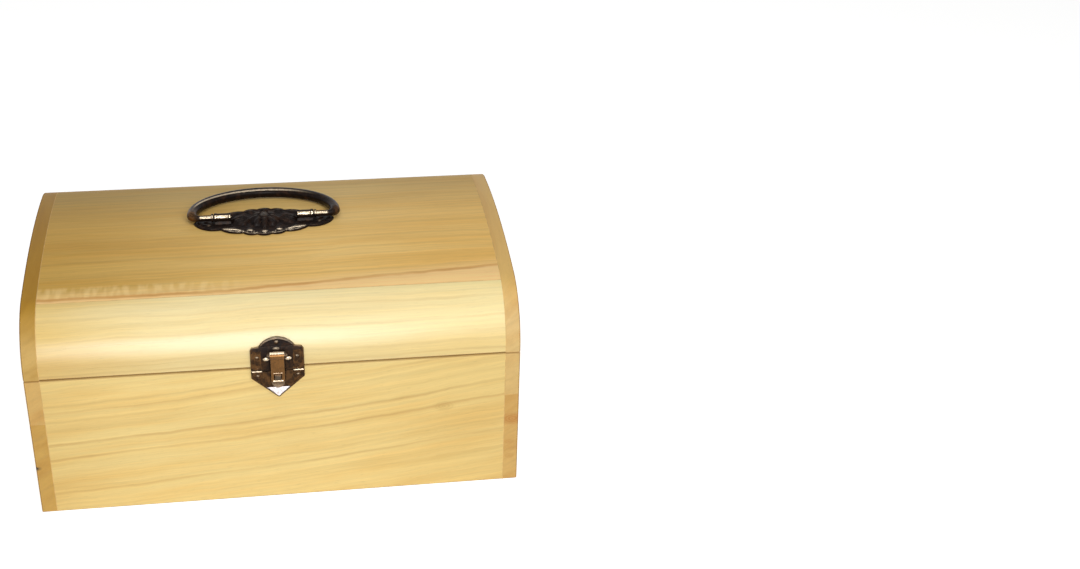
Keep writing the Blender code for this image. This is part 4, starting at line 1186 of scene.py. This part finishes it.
def makeSockets(material):
    shape = bmesh.new()
    inner, pivot = handle["socketInner"], handle["pivot"]
    start, end, footLevel = handle["foot"]
    slender, flare = handle["footWidth"]
    for side in (-1, 1):
        # A sleeve with a rolled rim at each end, on a foot with hollow sides
        profile = [(side * (inner + along) * mm, radius * mm) for along, radius in handle["socket"]]
        turnedAboutX(shape, profile, 48, Matrix.Translation((0.0, 0.0, pivot * mm)))
        steps, loops = 8, []
        near, far = side * (inner + start) * mm, side * (inner + end) * mm
        for step in range(steps + 1):
            share = step / steps
            z = (footLevel + share * (pivot - footLevel)) * mm
            wide = (slender + flare * (1.0 - share)**2.2) * mm
            loops.append([shape.verts.new((x, y, z)) for x, y in ((near, -wide), (far, -wide), (far, wide),
                                                                 (near, wide))])
        shape.faces.new(loops[0][::-1])
        shape.faces.new(loops[-1])
        skin(shape, loops)
    bmesh.ops.transform(shape, matrix=seatPlace, verts=shape.verts)
    bmesh.ops.recalc_face_normals(shape, faces=shape.faces)

    def wearAndLight(place, normal):
        # A painted highlight: bare colour along the side that faces up and forward
        facing = 0.64 * normal.z - 0.77 * normal.y
        return 0.95 * smooth(0.93, 0.975, facing) * smooth(128.0, 130.0, place.z), 0.05, 0.0

    placeMetal("handleSockets", shape, material, "lid", (), wearAndLight, 40.0, False)


bail = {
    "halfWidth": 40.6,
    "reach": 35.4,
    "bend": 4.6,
    "radius": 2.985,
    "endRadius": 1.6,
    "collar": (28.5, 29.8, 2.4),   # from, to and radius
    "start": 20.5,             # inside the socket
    "beforeBend": (31.0, 32.5, 34.0),
    "dip": 3.835,              # degrees under level, where it rests on the crown
    "sides": 72,
    "ridge": (90.0, 35.0),     # degrees round the bar: where the painted highlight runs on top, and how far that leans
}


def bailRoute():
    # Half of the bar from inside its socket to the middle, each place with the radius there
    start, end, collarRadius = bail["collar"]
    thin = bail["endRadius"]
    route = [(bail["start"], 0.0, 0.0), (bail["start"], 0.0, thin - 0.3), (bail["start"] + 0.3, 0.0, thin)]
    route += [(start, 0.0, thin), (start + 0.02, 0.0, collarRadius - 0.25),
              (start + 0.25, 0.0, collarRadius), (end - 0.25, 0.0, collarRadius),
              (end - 0.02, 0.0, collarRadius - 0.25), (end, 0.0, thin)]
    straight = bail["halfWidth"] - bail["bend"]
    route += [(x, 0.0, thin) for x in bail["beforeBend"]]
    for step in range(17):
        angle = pi / 2 * step / 16
        radius = thin + (bail["radius"] - thin) * sin(angle)**2
        route.append((straight + bail["bend"] * sin(angle), bail["bend"] * (1.0 - cos(angle)), radius))
    rise = bail["reach"] - bail["bend"]
    for step in range(1, 49):
        angle = pi / 2 * step / 48
        route.append((bail["halfWidth"] * cos(angle), bail["bend"] + rise * sin(angle), bail["radius"]))
    return route


def makeBail(material):
    half = bailRoute()
    route = half + [(-x, y, radius) for x, y, radius in half[-2::-1]]
    dip = radians(bail["dip"])
    level = Matrix.Translation((0.0, 0.0, handle["pivot"] * mm)) @ Matrix.Rotation(-dip, 4, "X")
    shape = bmesh.new()
    mark = shape.faces.layers.float.new("rubbed")
    upright, leaning = bail["ridge"]
    sides = bail["sides"]
    rings, highlightLines = [], []
    for index, (x, y, radius) in enumerate(route):
        before, after = route[max(0, index - 1)], route[min(len(route) - 1, index + 1)]
        way = Vector((after[0] - before[0], after[1] - before[1], 0.0))
        if way.length < 0.001:
            way = Vector((-1.0, 0.0, 0.0))
        out = Vector((-way.y, way.x, 0.0)).normalized()
        ring = []
        for step in range(sides):
            angle = 2 * pi * step / sides
            offset = out * cos(angle) + Vector((0.0, 0.0, 1.0)) * sin(angle)
            ring.append(shape.verts.new(seatPlace @ level @ ((Vector((x, y, 0.0)) + offset * radius) * mm)))
        rings.append(ring)
        # A painted highlight line runs along the bar's upper front
        strength = smooth(-41.0, -38.0, x) * smooth(34.0, 10.0, x) * smooth(3.0, 7.0, y)
        highlightLines.append((upright - leaning * abs(way.x) / way.length, 0.62 * strength))
    made = skin(shape, rings)
    for count, (ridge, strength) in enumerate(highlightLines[:-1]):
        for step, face in enumerate(made[count * sides:(count + 1) * sides]):
            face[mark] = strength * smooth(13.0, 5.0, abs(360.0 * (step + 0.5) / sides - ridge))
    bmesh.ops.remove_doubles(shape, verts=shape.verts, dist=samePlace)
    bmesh.ops.recalc_face_normals(shape, faces=shape.faces)

    def wearAndLight(place, normal):
        # Fingers have thinned the patina on the bends, most on the left one; the end pins carry a painted
        # highlight on their upper front
        side = place.x - handle["seat"][0]
        bend = (smooth(35.0, 41.0, -side) + 0.5 * smooth(38.0, 42.0, side)) * smooth(17.0, 8.0, place.y)
        pin = smooth(37.0, 35.0, abs(side)) * smooth(0.90, 0.97, 0.71 * normal.z - 0.71 * normal.y)
        pin *= smooth(12.0, 9.0, place.y) * smooth(28.0, 29.0, abs(side))
        return 0.85 * pin, 0.75 * bend + 0.3 * pin, 0.0

    placeMetal("handleBar", shape, material, "bail", ["handle_bail"], wearAndLight, 50.0, False)


# Hinges and their countersunk screws

hinges = {
    "softening": 0.10,
}
screws = {
    "softening": 0.05,
    "slot": (1.7, 0.22, 0.28),   # half length, half width and depth of the slot across the head
}


def makeScrew(node, material):
    low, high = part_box(node)
    middle = (low + high) / 2
    middle.z = high.z if "body" in node else low.z
    half = Vector(screws["slot"]) * mm
    if node.endswith("2"):
        half = Vector((half.y, half.x, half.z))
    uncut = toMesh(castCopy(node, screws["softening"]), "uncutScrew")
    shape = fromMesh(cutWith(uncut, [(middle - half, middle + half)]))

    def wearAndLight(place, normal):
        return 0.40 * smooth(0.7, 0.95, abs(normal.z)), 0.45, 0.0

    placeMetal(camel(node) + "Cast", shape, material, bodyOf[node], [node], wearAndLight, 38.0, False)


# Round-headed brads, set out by a tree that sinks a dome into the plate at each seat

brads = {
    "headRadius": 1.2,
    "headHeight": 0.85,
    "headDepth": 0.75,         # how far under its top a solid's head is measured
    "seatDepth": 0.78,
    "round": 24,
}


def studTree():
    tree, given, out = newTree("studs", {"Seats": bpy.types.Mesh, "Radius": float, "Height": float,
                                         "Round": int, "Material": bpy.types.Material})
    half = calc(tree, "DIVIDE", given["Round"], 2.0)
    ball = {"Segments": given["Round"], "Rings": half, "Radius": 1.0}
    ball = addStep(tree, "GeometryNodeMeshUVSphere", ball)
    size = addStep(tree, "CombineXYZ", {"X": given["Radius"], "Y": given["Radius"], "Z": given["Height"]})
    way = addStep(tree, "GeometryNodeInputNamedAttribute", {"Name": "out"}, data_type="FLOAT_VECTOR")
    turn = addStep(tree, "FunctionNodeAlignRotationToVector", {"Vector": way.outputs[0]}, axis="Z")
    placed = addStep(tree, "GeometryNodeInstanceOnPoints", {
        "Points": given["Seats"], "Instance": ball.outputs["Mesh"], "Rotation": turn.outputs[0],
        "Scale": size.outputs[0]})
    return closeTree(tree, placed.outputs[0], given, out)


def bradSeat(node):
    # The seat lies in the middle of the head's underside; the way points out of the wood
    points = [vertex.co.copy() for vertex in nodes[node].data.vertices]
    low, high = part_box(node)
    middle = (low + high) / 2
    if "handle" in node:
        way = Vector((0.0, 0.0, 1.0))
    elif "catch" in node:
        way = Vector((0.0, -1.0, 0.0))
    else:
        across, up = hasp["shoulderCentre"]
        way = Vector((0.0, middle.y - across * mm, middle.z - up * mm)).normalized()
    top = max(point.dot(way) for point in points)
    heads = [point for point in points if point.dot(way) > top - brads["headDepth"] * mm]
    centre = sum(heads, Vector()) / len(heads)
    return centre - way * (centre.dot(way) - (top - brads["seatDepth"] * mm)), way


def makeBrads(tree, name, members, material, body, wearAndLight):
    seed = bpy.data.meshes.new(name + "Seats")
    seats = [bradSeat(node) for node in members]
    seed.from_pydata([seat for seat, way in seats], [], [])
    ways = seed.attributes.new("out", "FLOAT_VECTOR", "POINT")
    ways.data.foreach_set("vector", [part for seat, way in seats for part in way])
    mesh = growMesh(name, tree, {"Radius": brads["headRadius"] * mm, "Height": brads["headHeight"] * mm,
                                 "Round": brads["round"], "Material": material}, seed)
    placeMetal(name, fromMesh(mesh), material, body, members, wearAndLight, 60.0, False)


# Bare on the head's upper side: wear and a painted highlight
def rubbedAndLitHead(place, normal):
    return 0.45 * smooth(0.3, 0.8, normal.z), 0.4, 0.0


def blackHead(place, normal):
    return 0.1 * smooth(0.5, 0.9, normal.z), 0.1, 0.0


makeCamera()
makeLamps()
makeWorld()
makeFloor()
print("camera, lamps and floor made")

# How each board is grown; places and lines in millimetres, seat on the board's own surface
frontGrain = dict(
    paleWood, line=(0.52, 0.295, 0.08), growth=(-0.10, 0.45, 1.0), bend=0.00019, seat=(0.0, -88.06, 0.0),
    seed=0.0, streak=0.42, pore=0.10,
    lines=((78.5, 0.7, 0.20), (74.0, 1.0, 0.34), (68.5, 0.7, 0.16), (61.0, 0.6, 0.14), (53.5, 1.0, 0.55),
           (43.7, 0.9, 0.55), (35.0, 0.7, 0.14), (28.0, 0.8, 0.16), (21.2, 0.9, 0.45), (10.0, 0.7, 0.16)),
    drifts=((-50.0, -135.0, (0.89, 0.84, 0.74)), (40.0, 130.0, (0.93, 0.90, 0.84))),
    knots=((90.0, -88.06, 53.4, 4.2, 0.36),), knotColour=(0.48, 0.28, 0.07))
backGrain = dict(frontGrain, seat=(0.0, 89.94, 0.0), seed=0.8)
topGrain = dict(
    paleWood, pale=(0.98, 0.670, 0.245), warm=(0.93, 0.590, 0.185), growth=(-0.02, 1.0, 0.45),
    seat=(0.0, 0.94, 125.2), seed=1.3, onArc=True, steps=90, specular=0.15, streak=0.48,
    drifts=((60.0, -110.0, (0.68, 0.61, 0.39)), (40.0, 125.0, (0.95, 0.90, 0.79))),
    wedge=(-25.0, 0.073, 45.8, (1.0, 0.675, 0.30)), closing=(0.70, 0.36, 0.11), flecks=(-5.0, 45.6, 57.0),
    # rise here paints shade onto the top board towards the back
    rise=(112.0, 168.0, (0.78, 0.80, 0.83)),
    lines=((57.5, 0.7, 0.18), (61.0, 0.6, 0.15), (66.0, 0.8, 0.22), (72.5, 0.6, 0.15), (80.0, 0.8, 0.24),
           (92.0, 0.7, 0.18), (104.0, 0.8, 0.18), (121.0, 0.8, 0.18), (140.0, 0.8, 0.18),
           (160.0, 0.8, 0.18)))
backShoulderGrain = dict(
    paleWood, pale=(0.72, 0.52, 0.21), warm=(0.66, 0.45, 0.16), growth=(-0.01, 0.7, 0.7),
    seat=(0.0, -78.0, 111.0), seed=2.9, onArc=True, steps=40, specular=0.2, streak=0.36,
    drifts=((-20.0, -125.0, (0.83, 0.70, 0.43)), (60.0, 130.0, (1.0, 0.98, 0.90))),
    lines=((3.0, 0.9, 0.3), (9.0, 0.9, 0.15), (14.0, 0.8, 0.12), (21.5, 0.7, 0.25), (33.0, 0.9, 0.15)))
shoulderGrain = dict(
    backShoulderGrain, pale=(0.93, 0.77, 0.39), warm=(0.91, 0.71, 0.32), seed=2.1, specular=0.7,
    shine=(22.0, 0.17), rise=(24.0, 4.0, (0.88, 0.84, 0.74)))
floorGrain = dict(paleWood, growth=(0.0, 1.0, 0.3), seat=(0.0, 0.0, 9.0), seed=9.1,
                  lines=((-40.0, 1.5, 0.3), (0.0, 1.5, 0.3), (40.0, 1.5, 0.3)))
endGrain = dict(
    paleWood, pale=(0.76, 0.480, 0.150), warm=(0.69, 0.390, 0.105), growth=(0.0, 0.5, 1.0),
    turn=(0.0, 0.0, radians(90.0)), grainWay=(0.0, 1.0, 0.0), steps=120,
    lines=((6.0, 1.0, 0.3), (14.0, 1.0, 0.3), (24.0, 1.0, 0.35), (35.0, 1.0, 0.3), (47.0, 1.0, 0.35),
           (60.0, 1.0, 0.3), (72.0, 1.0, 0.3), (90.0, 1.2, 0.3), (105.0, 1.2, 0.3)))
endLooks = {
    "left_end_lower": dict(
        endGrain, pale=(0.68, 0.405, 0.094), warm=(0.61, 0.330, 0.065), seed=3.3,
        knots=((-132.5, -88.0, 29.8, 1.6, 1.0),), knotColour=(0.04, 0.03, 0.02)),
    "left_end_upper": dict(endGrain, seed=4.0),
    "right_end_lower": dict(
        endGrain, seed=4.7, knotColour=(0.58, 0.25, 0.05),
        knots=((129.0, -88.0, 42.0, 5.5, 0.95), (127.5, -88.0, 26.0, 2.6, 0.35),
               (130.0, -88.0, 21.5, 2.4, 0.35), (128.0, -88.0, 16.5, 2.6, 0.35))),
    "right_end_upper": dict(endGrain, pale=(0.80, 0.54, 0.20), warm=(0.74, 0.46, 0.155), seed=5.4),
    # climb paints shade onto the lid's ends towards the top, most on the left
    "lid_left_end": dict(endGrain, pale=(0.71, 0.455, 0.138), warm=(0.61, 0.362, 0.092), seed=6.4,
                         specular=0.2, climb=(100.0, 121.0, (0.66, 0.55, 0.20))),
    "lid_right_end": dict(endGrain, pale=(0.82, 0.56, 0.22), warm=(0.75, 0.46, 0.155), seed=7.1,
                          climb=(102.0, 121.0, (0.94, 0.88, 0.70))),
}

seamWood = mottledMaterial("seamWood", seam)
flatBoard("frontBoard", "front_board", frontGrain)
flatBoard("backBoard", "back_board", backGrain)
bent = bentBoardTree()
backJoint = wholeArc - jointArc
bentBoard(bent, "lidFrontShoulder", (0.0, jointArc - halfGlue), shoulderGrain,
          "lid_front_shoulder")
bentBoard(bent, "lidTopBoard", (jointArc + halfGlue, backJoint - halfGlue), topGrain,
          "lid_top_board")
bentBoard(bent, "lidBackShoulder", (backJoint + halfGlue, wholeArc), backShoulderGrain,
          "lid_back_shoulder")
for node, look in endLooks.items():
    look["seat"] = (-halfLength / mm if "left" in node else halfLength / mm, 0.0, 0.0)
    if "lid" in node:
        lidEnd(camel(node), node, look)
    else:
        flatBoard(camel(node), node, look)
flatBoard("floorPanel", "bottom_panel", floorGrain)
glueLines(bent, mottledMaterial("driedGlue", glue))
print("boards made")

bronze = bronzeMaterial("antiqueBronze", darkBronze)
handledBronze = bronzeMaterial("handledBronze", dict(darkBronze, mottle=0.82))
# The facet's near-white bare colour is a painted reflection of the lamps
facetWithPaintedReflection = bronzeMaterial("polishedBronze", dict(darkBronze, rubbed=(0.97, 0.90, 0.92),
                                                      rubbedRoughness=0.14))
makeHasp(bronze, handledBronze, facetWithPaintedReflection)
makePlate(bronze)
makeSockets(bronze)
makeBail(bronze)
print("hasp and handle made")

studs = studTree()
for name, node, count, body, wearAndLight in (("haspLidBrads", "hasp_lid_brad", 3, "lid", rubbedAndLitHead),
                                      ("haspCatchBrads", "hasp_catch_brad", 2, "box", rubbedAndLitHead),
                                      ("handleBrads", "handle_brad", 4, "lid", blackHead)):
    makeBrads(studs, name, [f"{node}_{number + 1}" for number in range(count)], bronze, body, wearAndLight)
for node in nodes:
    if "screw" in node:
        makeScrew(node, bronze)
    elif "hinge" in node:
        placeMetal(camel(node) + "Cast", castCopy(node, hinges["softening"]), bronze, bodyOf[node], [node],
                   lambda place, normal: (0.0, 0.45, 0.0))
print("brads and hinges made")

bpy.context.scene.view_settings.view_transform = "Standard"
